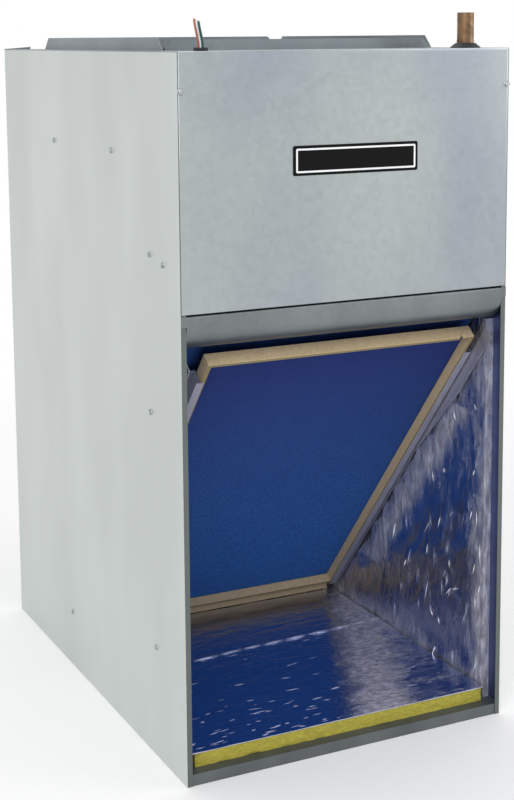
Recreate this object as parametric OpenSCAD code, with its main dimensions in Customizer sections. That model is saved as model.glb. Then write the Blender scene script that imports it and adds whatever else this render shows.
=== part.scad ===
// Upright air handler: slanted return filter and slab coil below, direct drive blower above.
// Origin at the centre of the base, X to the right, front towards -Y, Z up. Millimetres.

/* [Cabinet] */
// Outside width of the cabinet
cab_w = 470; // [425:1:520]
// Outside depth of the cabinet
cab_d = 686; // [680:1:740]
// Height of the cabinet under its duct flanges
cab_h = 914; // [906:1:940]
// Thickness of the galvanised sheet
sheet = 1; // [0.8:0.1:1.2]
// Width of the side panels' front flanges
front_flange = 7; // [6.5:0.5:9]
// Width of the side panels' rear flanges
rear_flange = 14; // [8:1:20]
// Height of the bottom pan
base_h = 15; // [12:1:18]
// Width of the bottom pan's foot flanges
base_foot = 16; // [10:1:25]
// Depth of the top panel's turned down edges
top_skirt = 12; // [8:1:16]

/* [Front] */
// Height of the removable front panel
panel_h = 313.5; // [305:0.5:318]
// Depth of the front panel's stiffening returns
panel_return = 14; // [10:1:20]
// Gap between the front panel and the header rail
panel_gap = 3.5; // [2:0.5:6]
// Height of the header rail's flat face
header_face = 13; // [8:1:18]
// Radius of the header rail's rolled lip
header_r = 31; // [26:1:34]
// Depth of the header rail's upper flange
header_flange = 18; // [12:1:24]
// Width of the nameplate
plate_w = 178; // [120:1:220]
// Height of the nameplate
plate_h = 37; // [25:1:50]
// Thickness of the nameplate
plate_t = 1.2; // [0.8:0.1:2]
// Sideways place of the nameplate's centre
plate_x = 6; // [-20:1:20]
// Height of the nameplate's centre above the panel's lower edge
plate_up = 179; // [120:1:220]

/* [Lining] */
// Thickness of the foil faced wall lining
lining_t = 13; // [10:0.5:14]
// Thickness of the floor lining
floor_lining = 20; // [15:1:22]
// Set back of the wall lining from the front
lining_setback = 26; // [20:1:32]
// Set back of the floor lining from the front
floor_setback = 18; // [14:1:24]
// Gap between the floor lining and the wall lining
floor_side_gap = 4; // [2:0.5:6]

/* [Filter] */
// Width inside the cabinet that the filter leaves for its rails, the lining and the pipes
filter_room = 76; // [74:1:90]
// Length of the filter along its slope
filter_l = 622; // [615:1:628]
// Thickness of the filter
filter_t = 19; // [16:0.5:20]
// Board thickness of the filter frame
filter_board = 1.5; // [1:0.1:2]
// Width of the filter frame's folded members
filter_member = 5; // [4:0.5:8]
// Width of the fold notch in the frame's upper member
fold_notch = 9; // [6:1:12]
// Thickness of the filter media
media_t = 3; // [2:0.5:5]
// Sideways place of the filter's centre
filter_x = 13; // [8:1:14]
// Depth of the filter's upper edge behind the front
filter_top_back = 35; // [32:1:38]
// Drop from the header rail to the filter's upper edge
filter_drop = 25; // [22:0.5:30]
// Height of the filter's lower edge over the floor lining
filter_rise = 16.5; // [12:0.5:20]
// Width of the ledges under the filter's frame
ledge_w = 2.5; // [2:0.5:5]
// Width of the ledges beside the filter's frame
ledge_out = 8; // [4:0.5:8]
// Length of filter left clear above the rails
rail_start = 34; // [20:1:50]
// Width of the rails' wall flanges in front of the filter's face, at the top
rail_skirt = 18; // [12:1:20]
// Length of the wall flanges above the filter's upper edge
rail_horn = 17; // [0:1:20]
// Width of the same flanges lower down
rail_foot = 3; // [2:0.5:8]

/* [Coil] */
// Tubes in each row of the coil
tubes_per_row = 20; // [20:5:20]
// Distance between tubes in a row
tube_pitch = 25.4; // [24:0.1:25.4]
// Distance between the two rows of tubes
row_pitch = 22; // [20:0.5:23]
// Outside radius of the coil tubes
tube_r = 4.76; // [4:0.02:5]
// Gap between the filter's face and the coil fins
coil_gap = 36; // [34:0.5:40]
// Thickness of the coil's end plates
end_plate_t = 1.5; // [1:0.1:2]
// Outside radius of the suction pipe
suction_r = 11.11; // [9.5:0.01:11.2]
// Wall of the copper pipes
pipe_wall = 1.1; // [0.8:0.1:1.4]
// Outside radius of the liquid pipe
liquid_r = 4.76; // [3.2:0.01:4.8]
// Bend radius of the pipes
pipe_bend = 35; // [30:1:38]
// Distance of the suction pipe from the cabinet's right side
suction_side = 32; // [31:0.5:35]
// Depth of the suction pipe behind the front
suction_back = 55; // [54:0.5:58]
// Height of the suction stub above the cabinet
suction_stub = 46; // [30:1:60]
// Height of the liquid stub above the cabinet
liquid_stub = 20; // [14:1:26]
// Height of the bead that stops a fitting on either stub
stop_bead = 0.6; // [0.4:0.1:0.8]

/* [Drain] */
// Depth of the drain pan from front to back
drain_d = 130; // [110:1:150]
// Height of the drain pan
drain_h = 36; // [34:0.5:37]
// Wall of the drain pan
drain_wall = 2.5; // [2:0.1:3]
// Bore radius of the drain fittings
drain_bore = 12.3; // [10:0.1:13]
// Outside radius of the drain fittings
drain_r = 15; // [14.5:0.1:15.5]

/* [Blower] */
// Height of the blower deck
deck_z = 775; // [760:1:790]
// Depth of the plenum's front wall behind the front
plenum_back = 108; // [104:1:115]
// Height of the deck's upturned edges
deck_rim = 20; // [16:1:24]
// Radius of the blower wheel
wheel_r = 115; // [108:1:117]
// Width of the blower wheel
wheel_w = 190; // [180:1:196]
// Number of blades in the wheel
blades = 30; // [24:2:40]
// Radius of the shaft
shaft_r = 6.35; // [5:0.05:7]
// Depth of the blower shaft behind the front
shaft_back = 430; // [420:1:440]
// Depth of the blower shaft below the deck
shaft_drop = 150; // [146:1:160]
// Radius of the scroll at its tongue
scroll_min = 128; // [126:1:132]
// Radius of the scroll at its outlet
scroll_max = 200; // [190:1:205]
// Inside width of the blower housing
housing_w = 230; // [222:1:240]
// Radius of the motor
motor_r = 70; // [60:1:74]
// Length of the motor shell
motor_l = 100; // [90:1:104]

/* [Duct flanges] */
// Inset of the supply opening from the sides
supply_inset = 37; // [34:0.5:45]
// Depth of the supply opening's front edge behind the front
supply_front = 130; // [125:1:140]
// Depth of the supply opening from front to back
supply_d = 465; // [430:1:480]
// Height of the duct flanges at the sides and back
duct_flange = 18; // [14:1:26]
// Height of the front duct flange
duct_front = 14.5; // [10:0.5:26]
// Length of the upturned lips at the top's rear corners
rear_lip = 42; // [30:1:60]

/* [Controls] */
// Width of the control box
box_w = 210; // [205:1:240]
// Depth of the control box
box_d = 66; // [62:1:68]
// Height of the control box
box_h = 217; // [212:1:230]
// Height of the control box's floor
box_z = 645; // [640:1:650]
// Radius of the run capacitor
capacitor_r = 20; // [18:0.5:22]
// Height of the run capacitor
capacitor_h = 82; // [70:1:90]

/* [Fits] */
// Gap between pieces that rest on each other
seat = 0.3; // [0.2:0.05:0.3]
// Radial gap round a tube, pin or bearing
run_fit = 0.05; // [0.03:0.01:0.08]
// Gap round the filter in its rails
slide_gap = 1; // [0.6:0.1:1.4]
// Radial gap round a screw
screw_gap = 0.2; // [0.1:0.05:0.4]

/* [Hidden] */
$fn = 48;
front = -cab_d / 2;
back = cab_d / 2;
half_w = cab_w / 2;
wall_x = half_w - sheet;
lining_x = wall_x - lining_t;
filter_w = cab_w - filter_room;
suction_x = half_w - suction_side;
panel_z = cab_h - panel_h;
header_top = panel_z - panel_gap;
header_low = header_top - header_face - header_r;
header_back = front + header_r + 20;
floor_z = base_h + floor_lining;
under_top = cab_h - sheet - top_skirt - seat;
plenum_y = front + plenum_back;
deck_top = deck_z + sheet + deck_rim;

// Slope of the filter and coil: local X across, Y down the slope, Z away from the room side
filter_top = header_low - filter_drop;
filter_bottom = floor_z + filter_rise;
tilt = asin((filter_top - filter_bottom) / filter_l);
slope_y = front + filter_top_back;
rail_n = filter_t + slide_gap;
rail_end = (filter_top - 20 * cos(tilt) - floor_z - seat) / sin(tilt);
coil_l = tubes_per_row * tube_pitch;
coil_end = filter_l - 9;
coil_start = coil_end - coil_l;
coil_t = 2 * row_pitch;
tube_reach = 4;
coil_left = -lining_x + tube_pitch / 2 + tube_r + tube_reach + end_plate_t + 2;
coil_right = suction_x - suction_r - tube_pitch / 2 - tube_r - tube_reach - end_plate_t - 9;
circuits = 4;
per_circuit = tubes_per_row / circuits;
row_n = [for (row = [0, 1]) coil_gap + row_pitch * (row + 0.5)];
bolt_y = 8;
stub_y = front + suction_back;
liquid_x = suction_x + 11.5;
liquid_y = stub_y + 28;
liquid_n = row_n[0] + 28;
distributor_s = 50;
distributor_l = 30;

// Drain pan behind the foot of the filter
drain_y = slope_point(rail_end, rail_n + sheet)[0] + seat;
drain_half = lining_x - seat;
drain_sites = [[drain_y + 45, floor_z + 16], [drain_y + 90, floor_z + 18.5]];

// Blower
shaft_y = front + shaft_back;
shaft_z = deck_z - shaft_drop;
tongue_a = 440;
scroll = [for (a = [180:10:tongue_a])
    let (r = scroll_min + (scroll_max - scroll_min) * (tongue_a - a) / (tongue_a - 180))
    [shaft_y + r * cos(a), shaft_z + r * sin(a)]];
outlet_front = shaft_y - scroll_max;
outlet_rear = shaft_y + scroll_min * cos(tongue_a);
housing_path = concat([[outlet_front, deck_z]], scroll, [[outlet_rear, deck_z]]);
outlet_lip = 14;
side_face = housing_w / 2 + sheet;
inlet_r = 97;
bearing_r = 11;
motor_x = 34;
bell_t = 6;
stator_in = 40;

// Screws: depth behind the front and height of each one in a side panel
screw_r = 1.9;
head_r = 3.6;
head_h = 2.4;
side_shank = lining_t + 2 * sheet + 2;
deck_screws = [[223, deck_z + 10], [454, deck_z + 10]];
rail_screws = [for (p = [slope_point(95, 8), slope_point(filter_l - 30, 14)]) [p[0] - front, p[1]]];
lining_screws = [[96, 150]];
box_screws = [[54, box_z + 10], [97, box_z + 18]];
side_sites = concat(deck_screws, rail_screws, lining_screws);
panel_screw_x = half_w - front_flange / 2;
panel_screw_z = cab_h - 47;

// Controls hang on the plenum's front wall
box_back = front + plenum_back - seat;
box_left = -lining_x + seat;
box_front = box_back - box_d;

// Wire bushing and its folded leads
bushing_x = box_left + 42.7;
bushing_y = front + 60;
bushing_r = 9;
bushing_h = 4;
lead_r = 1.1;
lead_step = 2.7;
lead_turn = 26;
lead_route = [[4.5, 0, 0], [4.5, 0, 4], [4.6, -0.5, 9], [4.6, -1.4, 15], [4.6, -2.5, 21], [4.5, -3.6, 27],
    [4.3, -4.2, 31], [3.2, -4.6, 34.2], [0, -4.9, 35.6], [-3.2, -4.8, 34.2], [-4.3, -4.4, 31],
    [-4.5, -3.8, 27], [-4.6, -2.7, 21], [-4.6, -1.6, 15], [-4.6, -0.6, 9], [-4.5, 0, 4], [-4.5, 0, 0]];
lead_lift = [1.05, 1, 0.96];

// Bent sheet: a path and its copy moved to the left by the sheet's thickness, with mitred corners
function left_of(a, b) = let (u = (b - a) / norm(b - a)) [-u[1], u[0]];
function mitre(path, i, t) = let (
    last = len(path) - 1,
    before = i == 0 ? left_of(path[0], path[1]) : left_of(path[i - 1], path[i]),
    after = i == last ? before : left_of(path[i], path[i + 1]))
    path[i] + t * (before + after) / (1 + before * after);
module bent(path, t = sheet) {
    polygon(concat(path, [for (i = [len(path) - 1:-1:0]) mitre(path, i, t)]));
}

// A profile drawn in Y and Z, pulled along X
module along_x(x0, x1) {
    translate([x0, 0, 0]) rotate([90, 0, 90]) linear_extrude(x1 - x0) children();
}

// A profile drawn in X and Z of the slope, pulled down the slope
module along_slope(s0, s1) {
    translate([0, s1, 0]) rotate([90, 0, 0]) linear_extrude(s1 - s0) children();
}

module block(low, high) {
    translate(low) cube(high - low);
}

module x_cylinder(x0, x1, r, y = 0, z = 0) {
    translate([x0, y, z]) rotate([0, 90, 0]) cylinder(h = x1 - x0, r = r);
}

module on_slope() {
    translate([0, slope_y, filter_top]) rotate([-tilt, 0, 0]) children();
}

function slope_point(s, n) = [slope_y + s * cos(tilt) + n * sin(tilt), filter_top - s * sin(tilt) + n * cos(tilt)];

// Round tube swept along points: rings carried from one to the next without twist
function unit(v) = v / norm(v);
function spline(p, steps) = concat([for (i = [0:len(p) - 2], k = [0:steps - 1]) let (
    t = k / steps,
    a = p[max(i - 1, 0)], b = p[i], c = p[i + 1], d = p[min(i + 2, len(p) - 1)])
    0.5 * (2 * b + (c - a) * t + (2 * a - 5 * b + 4 * c - d) * t * t + (3 * b - 3 * c + d - a) * t * t * t)],
    [p[len(p) - 1]]);
function tangent(p, i) = unit(p[min(i + 1, len(p) - 1)] - p[max(i - 1, 0)]);
function carried(p, i, u) = let (t = tangent(p, i), v = unit(u - (u * t) * t))
    i == len(p) - 1 ? [v] : concat([v], carried(p, i + 1, v));
module swept(points, r, sides = 8) {
    across = carried(points, 0, [0.31, 0.43, 0.85]);
    rings = [for (i = [0:len(points) - 1], k = [0:sides - 1])
        let (t = tangent(points, i), u = across[i], v = cross(t, u), a = 360 * k / sides)
        points[i] + r * (cos(a) * u + sin(a) * v)];
    sides_out = [for (i = [0:len(points) - 2], k = [0:sides - 1]) let (
        a = i * sides + k, b = i * sides + (k + 1) % sides, c = b + sides, d = a + sides)
        each [[a, c, b], [a, d, c]]];
    caps = [[for (k = [0:sides - 1]) k], [for (k = [sides - 1:-1:0]) (len(points) - 1) * sides + k]];
    polyhedron(points = rings, faces = concat(sides_out, caps));
}

// Hex washer head screw: shank along +Z below the seat at Z = 0, head above it
module screw(shank) {
    translate([0, 0, -shank]) cylinder(h = shank, r = screw_r);
    cylinder(h = 0.8, r = head_r * 1.2);
    cylinder(h = head_h, r = head_r, $fn = 6);
}

// Children at each screw site of one side panel, with Z pointing out of the cabinet
module at_side_sites(sites, side) {
    for (p = sites) translate([side * half_w, front + p[0], p[1]]) rotate([0, 90 * side, 0]) children();
}

module side_holes(depth = side_shank + 3) {
    for (side = [-1, 1]) at_side_sites(side_sites, side)
        translate([0, 0, -depth]) cylinder(h = depth + 1, r = screw_r + screw_gap);
    at_side_sites(box_screws, -1)
        translate([0, 0, -depth]) cylinder(h = depth + 1, r = screw_r + screw_gap);
}

module side_sheet() {
    linear_extrude(cab_h - sheet) bent([
        [-half_w + rear_flange, back],
        [-half_w, back],
        [-half_w, front + sheet],
        [-half_w + front_flange, front + sheet]]);
}

module panel_screw_holes() {
    for (side = [-1, 1]) translate([side * panel_screw_x, front + 10, panel_screw_z])
        rotate([90, 0, 0]) cylinder(h = 20, r = screw_r + screw_gap);
}

module left_side_panel() {
    color([0.79, 0.81, 0.80]) difference() {
        side_sheet();
        side_holes();
        panel_screw_holes();
    }
}

module right_side_panel() {
    color([0.79, 0.81, 0.80]) difference() {
        mirror([1, 0, 0]) side_sheet();
        side_holes();
        panel_screw_holes();
        drain_holes();
    }
}

module drain_holes() {
    for (p = drain_sites) x_cylinder(lining_x - 1, half_w + 1, drain_r + seat, p[0], p[1]);
}

module back_panel() {
    color([0.70, 0.73, 0.73])
        block([-wall_x, back - 2 * sheet, 0], [wall_x, back - sheet, cab_h - sheet]);
}

module bottom_pan() {
    low = [-wall_x, front + 2 * sheet, 0];
    high = [wall_x, back - 2 * sheet, base_h];
    color([0.45, 0.47, 0.48]) difference() {
        block(low, high);
        block(low + [sheet, sheet, sheet], high - [sheet, sheet, sheet]);
        block([low[0] + base_foot, low[1] + base_foot, -1], [high[0] - base_foot, high[1] - base_foot, base_h / 2]);
    }
}

// Duct flange: a strip with mitred ends, drawn in X and Z
module duct_strip(length, h = duct_flange) {
    rotate([90, 0, 0]) linear_extrude(sheet)
        polygon([[-length / 2, 0], [length / 2, 0], [length / 2 - h, h], [h - length / 2, h]]);
}

module top_panel() {
    open_w = cab_w - 2 * supply_inset;
    open_front = front + supply_front;
    open_back = open_front + supply_d;
    skirt_z = cab_h - sheet - top_skirt;
    color([0.74, 0.77, 0.77]) {
        difference() {
            union() {
                block([-half_w, front + sheet, cab_h - sheet], [half_w, back, cab_h]);
                difference() {
                    block([-wall_x, front + 2 * sheet, skirt_z], [wall_x, back - 2 * sheet, cab_h - sheet]);
                    block([-wall_x + sheet, front + 3 * sheet, skirt_z - 1], [wall_x - sheet, back - 3 * sheet, cab_h]);
                }
            }
            block([-open_w / 2, open_front, skirt_z], [open_w / 2, open_back, cab_h + 1]);
            translate([suction_x, stub_y, skirt_z]) cylinder(h = 30, r = suction_r + 4.6);
            translate([liquid_x, liquid_y, skirt_z]) cylinder(h = 30, r = liquid_r + 1.6);
            translate([bushing_x, bushing_y, skirt_z]) cylinder(h = 30, r = bushing_r - 1.5);
        }
        for (side = [-1, 1]) translate([side * (open_w + sheet) / 2, (open_front + open_back) / 2, cab_h - sheet])
            rotate([0, 0, 90 * side]) translate([0, sheet / 2, 0]) duct_strip(supply_d);
        translate([0, open_front, cab_h - sheet]) duct_strip(open_w, duct_front);
        translate([0, open_back + sheet, cab_h - sheet]) duct_strip(open_w);
        for (side = [0, 1]) mirror([side, 0, 0]) translate([-half_w, back, cab_h - sheet]) rotate([90, 0, 0])
            linear_extrude(sheet) polygon([[0, 0], [rear_lip, 0], [rear_lip, sheet + 3.5], [0, sheet + 0.5]]);
    }
}

module front_access_panel() {
    inner_x = half_w - front_flange - 0.5;
    color([0.67, 0.71, 0.72]) difference() {
        union() {
            block([-half_w, front, panel_z], [half_w, front + sheet, cab_h]);
            difference() {
                block([-inner_x, front + sheet, panel_z], [inner_x, front + panel_return, under_top]);
                block([-inner_x + sheet, front, panel_z + sheet], [inner_x - sheet, front + 30, cab_h]);
            }
        }
        panel_screw_holes();
    }
}

module header_rail() {
    arc_z = header_top - header_face;
    arc = [for (a = [180:7.5:270]) [front + header_r + header_r * cos(a), arc_z + header_r * sin(a)]];
    face = [[front + header_flange, header_top - sheet], [front + sheet, header_top - sheet], [front + sheet, arc_z]];
    inside_x = half_w - front_flange - seat;
    color([0.50, 0.53, 0.53]) {
        along_x(-inside_x, inside_x) bent(concat([[front + header_flange, header_top], [front, header_top]], arc,
            [[header_back, header_low]]));
        for (side = [-1, 1]) block(
            [side > 0 ? inside_x : -half_w, front, arc_z], [side > 0 ? half_w : -inside_x, front + sheet, header_top]);
    }
}

module nameplate() {
    z0 = panel_z + plate_up - plate_h / 2;
    x0 = plate_x - plate_w / 2;
    rim = 3;
    line = 1.6;
    color([0.05, 0.05, 0.05]) {
        block([x0, front - plate_t, z0], [x0 + plate_w, front, z0 + plate_h]);
        difference() {
            block([x0 + rim, front - plate_t - 0.3, z0 + rim], [x0 + plate_w - rim, front - plate_t, z0 + plate_h - rim]);
            block([x0 + rim + line, front - plate_t - 1, z0 + rim + line],
                [x0 + plate_w - rim - line, front, z0 + plate_h - rim - line]);
        }
    }
}

module panel_screws() {
    color([0.62, 0.65, 0.66]) for (side = [-1, 1])
        translate([side * panel_screw_x, front, panel_screw_z]) rotate([90, 0, 0]) screw(9);
}

module side_screws() {
    color([0.62, 0.65, 0.66]) {
        for (side = [-1, 1]) at_side_sites(side_sites, side) screw(side_shank);
        at_side_sites(box_screws, -1) screw(side_shank);
    }
}

// Wall lining on the right: a slab under the deck, slit for the header rail, and one beside the plenum
module wall_slabs() {
    y1 = back - 2 * sheet - lining_t;
    rise = header_r - sqrt(pow(header_r, 2) - pow(header_r - lining_setback, 2));
    difference() {
        block([lining_x, front + lining_setback, base_h], [wall_x, y1, deck_z - seat]);
        block([lining_x - 1, front, header_low - seat], [half_w, header_back + seat, header_low + rise + sheet + 2 * seat]);
    }
    block([lining_x, plenum_y + sheet, deck_top + seat], [wall_x, y1, under_top]);
}

module lining_left() {
    color([0.80, 0.81, 0.83]) difference() {
        mirror([1, 0, 0]) wall_slabs();
        side_holes();
    }
}

module lining_right() {
    color([0.80, 0.81, 0.83]) difference() {
        wall_slabs();
        side_holes();
        drain_holes();
    }
}

module lining_back() {
    y1 = back - 2 * sheet;
    color([0.80, 0.81, 0.83]) {
        block([-wall_x, y1 - lining_t, base_h], [wall_x, y1, deck_z - seat]);
        block([-wall_x, y1 - lining_t, deck_top + seat], [wall_x, y1, under_top]);
    }
}

module lining_floor() {
    edge = lining_x - floor_side_gap;
    color([0.72, 0.68, 0.35])
        block([-edge, front + floor_setback, base_h], [edge, back - 2 * sheet - lining_t - seat, floor_z]);
}

module panel_lining() {
    edge = half_w - front_flange - 2;
    color([0.80, 0.81, 0.83])
        block([-edge, front + sheet, panel_z + 2 * sheet], [edge, front + lining_t, under_top - seat]);
}

// Slab inset by one amount all round from the filter's outline, between two depths
module filter_slab(inset, n0, n1) {
    block([-filter_w / 2 + inset, inset, n0], [filter_w / 2 - inset, filter_l - inset, n1]);
}

// Folded board frame: the media sits in a pocket at the back, and a fold notch shows in the upper member
module filter_frame() {
    pocket = filter_t - filter_board;
    notch_x = filter_w / 2 - 2.5 * fold_notch;
    color([0.66, 0.58, 0.46]) on_slope() translate([filter_x, 0, 0]) difference() {
        filter_slab(0, 0, filter_t);
        filter_slab(filter_member, -1, filter_t + 1);
        filter_slab(filter_board, pocket - media_t - 2 * seat, pocket);
        along_slope(-1, filter_member + 1)
            polygon([[notch_x, -1], [notch_x + fold_notch, -1], [notch_x + fold_notch / 2, fold_notch]]);
    }
}

module filter_media() {
    top_n = filter_t - filter_board - seat;
    color([0.12, 0.22, 0.55]) on_slope() translate([filter_x, 0, 0])
        filter_slab(filter_board + run_fit, top_n - media_t, top_n);
}

// Rail on the right of the filter: ledge, web, base flange and a flange along the lining that narrows downwards
module rail(reach) {
    edge = filter_w / 2;
    difference() {
        union() {
            along_slope(rail_start, rail_end) {
                bent([
                    [edge - ledge_w, -seat - sheet],
                    [edge + slide_gap + sheet, -seat - sheet],
                    [edge + slide_gap + sheet, rail_n],
                    [reach - sheet, rail_n],
                    [reach - sheet, -rail_skirt]]);
                translate([edge, -seat - sheet]) square([ledge_out, sheet]);
            }
            along_slope(-rail_horn, rail_start + 5)
                translate([reach - sheet, -rail_skirt]) square([sheet, rail_skirt]);
        }
        along_x(reach - 2 * sheet, reach + 1) polygon([
            [rail_start + 60, -rail_skirt - 1], [rail_start + 230, -rail_foot],
            [rail_end + 1, -rail_foot], [rail_end + 1, -rail_skirt - 1]]);
    }
}

module filter_rail_left() {
    color([0.60, 0.61, 0.65]) difference() {
        on_slope() translate([filter_x, 0, 0]) mirror([1, 0, 0]) rail(lining_x + filter_x);
        side_holes();
    }
}

module filter_rail_right() {
    color([0.60, 0.61, 0.65]) difference() {
        on_slope() translate([filter_x, 0, 0]) rail(lining_x - filter_x);
        side_holes();
    }
}

module filter_stop() {
    s = filter_l + seat + sheet;
    reach = filter_w / 2 + slide_gap - seat;
    knee = slope_point(s, filter_t + 3);
    color([0.60, 0.61, 0.65]) along_x(filter_x - reach, filter_x + reach)
        bent([slope_point(s, 0), knee, [knee[0], floor_z + seat]]);
}

// Place of each tube of the coil down the slope
function tube_s(i) = coil_start + tube_pitch * (i + 0.5);

module tube_holes(x0, x1) {
    for (i = [0:tubes_per_row - 1], n = row_n) x_cylinder(x0, x1, tube_r + run_fit, tube_s(i), n);
}

module coil_fins() {
    color([0.76, 0.78, 0.80]) on_slope() difference() {
        block([coil_left, coil_start, coil_gap], [coil_right, coil_end, coil_gap + coil_t]);
        tube_holes(coil_left - 1, coil_right + 1);
    }
}

module coil_tubes() {
    color([0.72, 0.45, 0.30]) on_slope() for (i = [0:tubes_per_row - 1], row = [0, 1]) {
        first = i % per_circuit == 0;
        reach = !first ? tube_reach : row == 0 ? suction_x - suction_r + 1.3 - coil_right - end_plate_t : tube_reach + 10;
        x_cylinder(coil_left - end_plate_t - tube_reach, coil_right + end_plate_t + reach, tube_r, tube_s(i), row_n[row]);
    }
}

module half_ring(r) {
    rotate_extrude(angle = 180) translate([r, 0]) circle(tube_r);
}

module coil_return_bends() {
    left_x = coil_left - end_plate_t - tube_reach;
    right_x = coil_right + end_plate_t + tube_reach;
    color([0.72, 0.45, 0.30]) on_slope() for (c = [0:circuits - 1]) {
        first = c * per_circuit;
        for (n = row_n) {
            for (k = [0, 2]) translate([left_x, tube_s(first + k + 0.5), n]) rotate([0, 0, 90]) half_ring(tube_pitch / 2);
            for (k = [1, 3]) translate([right_x, tube_s(first + k + 0.5), n]) rotate([0, 0, -90]) half_ring(tube_pitch / 2);
        }
        translate([left_x, tube_s(first + 4), (row_n[0] + row_n[1]) / 2])
            rotate([90, 0, 0]) rotate([0, 0, 90]) half_ring(row_pitch / 2);
    }
}

// End plate of the coil with a foot flange that rests on the filter rail
module end_plate(x0, foot0, foot1) {
    low = rail_n + sheet + seat;
    difference() {
        union() {
            block([x0, coil_start - 4, low], [x0 + end_plate_t, coil_end + 4, coil_gap + coil_t + 2]);
            block([foot0, coil_start - 4, low], [foot1, coil_end + 4, low + end_plate_t]);
        }
        tube_holes(x0 - 1, x0 + end_plate_t + 1);
    }
}

module coil_end_plate_left() {
    color([0.66, 0.69, 0.69]) on_slope()
        end_plate(coil_left - end_plate_t, -lining_x + seat, coil_left);
}

module coil_end_plate_right() {
    color([0.66, 0.69, 0.69]) on_slope()
        end_plate(coil_right, coil_right, lining_x - seat);
}

module coil_top_baffle() {
    s = coil_start - 4 - seat;
    z = header_low + sheet + seat;
    low = [[header_back - 14, z], [header_back + 2, z], slope_point(s, rail_n + sheet + seat + end_plate_t)];
    color([0.55, 0.58, 0.58]) {
        along_x(-lining_x + seat, coil_right) bent(concat(low, [slope_point(s, coil_gap + coil_t)]));
        along_x(coil_right, lining_x - seat) bent(low);
    }
}

module suction_header() {
    top_s = coil_start - 14;
    end_s = tube_s((circuits - 1) * per_circuit) + 20;
    color([0.72, 0.45, 0.30]) on_slope() difference() {
        translate([suction_x, top_s, row_n[0]]) rotate([-90, 0, 0]) cylinder(h = end_s - top_s, r = suction_r);
        translate([suction_x, top_s - 1, row_n[0]]) rotate([-90, 0, 0])
            cylinder(h = end_s - top_s - 1, r = suction_r - pipe_wall);
        for (c = [0:circuits - 1])
            x_cylinder(suction_x - suction_r - 2, suction_x - 4, tube_r + run_fit, tube_s(c * per_circuit), row_n[0]);
    }
}

// Pipe that comes down from the top to an elbow and runs on down the slope
module dropped_pipe(x, y, n, top, end_s, r, sleeve) {
    turn = 90 - tilt;
    corner_s = (y - slope_y - n * sin(tilt)) / cos(tilt);
    corner_z = slope_point(corner_s, n)[1];
    tangent_l = pipe_bend * tan(turn / 2);
    translate([x, y, corner_z + tangent_l - 2]) cylinder(h = top - corner_z - tangent_l + 2, r = r);
    translate([x, y + pipe_bend, corner_z + tangent_l])
        multmatrix([[0, 0, 1, 0], [-1, 0, 0, 0], [0, -1, 0, 0]])
            rotate_extrude(angle = turn) translate([pipe_bend, 0]) circle(r + sleeve);
    on_slope() translate([x, corner_s + tangent_l - 2, n]) rotate([-90, 0, 0])
        cylinder(h = end_s - corner_s - tangent_l + 2, r = r);
}

// Pipe with a rolled bead round its stub that stops the fitting pushed over it
module hollow_pipe(x, y, n, top, end_s, r, bead_z) {
    color([0.72, 0.45, 0.30]) difference() {
        union() {
            dropped_pipe(x, y, n, top, end_s, r, 0.8);
            translate([x, y, bead_z]) cylinder(h = 1.5, r = r + stop_bead);
        }
        dropped_pipe(x, y, n, top + 1, end_s + 1, r - pipe_wall, 0.3);
    }
}

module suction_line() {
    hollow_pipe(suction_x, stub_y, row_n[0], cab_h + suction_stub, coil_start - 14, suction_r, cab_h + 8);
}

module liquid_line() {
    hollow_pipe(liquid_x, liquid_y, liquid_n, cab_h + liquid_stub, distributor_s, liquid_r, cab_h + 4);
}

module distributor() {
    color([0.76, 0.60, 0.30]) on_slope() translate([liquid_x, distributor_s, liquid_n]) rotate([-90, 0, 0])
        difference() {
            rotate_extrude() polygon([[0, 0], [liquid_r, 0], [liquid_r, 6], [5.6, 12], [5.6, distributor_l], [0, distributor_l]]);
            translate([0, 0, -1]) cylinder(h = 12, r = liquid_r - 2);
        }
}

// Feeder tubes: from the distributor down a lane of their own, then into the inlet tube of each circuit
module feeder_tubes() {
    inlet_x = coil_right + end_plate_t + tube_reach + 10;
    start_s = distributor_s + distributor_l;
    offsets = [[-2.6, -2.6], [2.6, -2.6], [-2.6, 2.6], [2.6, 2.6]];
    color([0.72, 0.45, 0.30]) on_slope() for (c = [0:circuits - 1]) {
        s = tube_s(c * per_circuit);
        lane_x = suction_x + 1 + 2 * (c % 2);
        lane_n = liquid_n + 6 * c;
        x0 = liquid_x + offsets[c][0];
        n0 = liquid_n + offsets[c][1];
        middle = c == 0 ? [] : [[lane_x, start_s + 30, lane_n], [lane_x, s - 30, lane_n], [lane_x, s - 16, lane_n - 1]];
        swept(spline(concat(
            [[x0, start_s, n0], [x0, start_s + 4, n0], [x0, start_s + 8, n0]],
            middle,
            [[lane_x - 5, s - 5, row_n[1] + 2], [lane_x - 13, s, row_n[1]]],
            [for (dx = [8, 4, 0]) [inlet_x + dx, s, row_n[1]]]),
            3), 1.2);
    }
}

module drain_pan() {
    color([0.13, 0.13, 0.14]) difference() {
        block([-drain_half, drain_y, floor_z], [drain_half, drain_y + drain_d, floor_z + drain_h]);
        block([-drain_half + drain_wall, drain_y + drain_wall, floor_z + drain_wall],
            [drain_half - drain_wall, drain_y + drain_d - drain_wall, floor_z + drain_h + 1]);
        for (p = drain_sites) x_cylinder(drain_half - 5, drain_half + 1, 8, p[0], p[1]);
    }
}

module drain_fittings() {
    color([0.18, 0.18, 0.19]) for (p = drain_sites) difference() {
        x_cylinder(drain_half, half_w + 1, drain_r, p[0], p[1]);
        x_cylinder(drain_half + 4, half_w + 2, drain_bore, p[0], p[1]);
        x_cylinder(drain_half - 1, half_w, 8, p[0], p[1]);
    }
}

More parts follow.
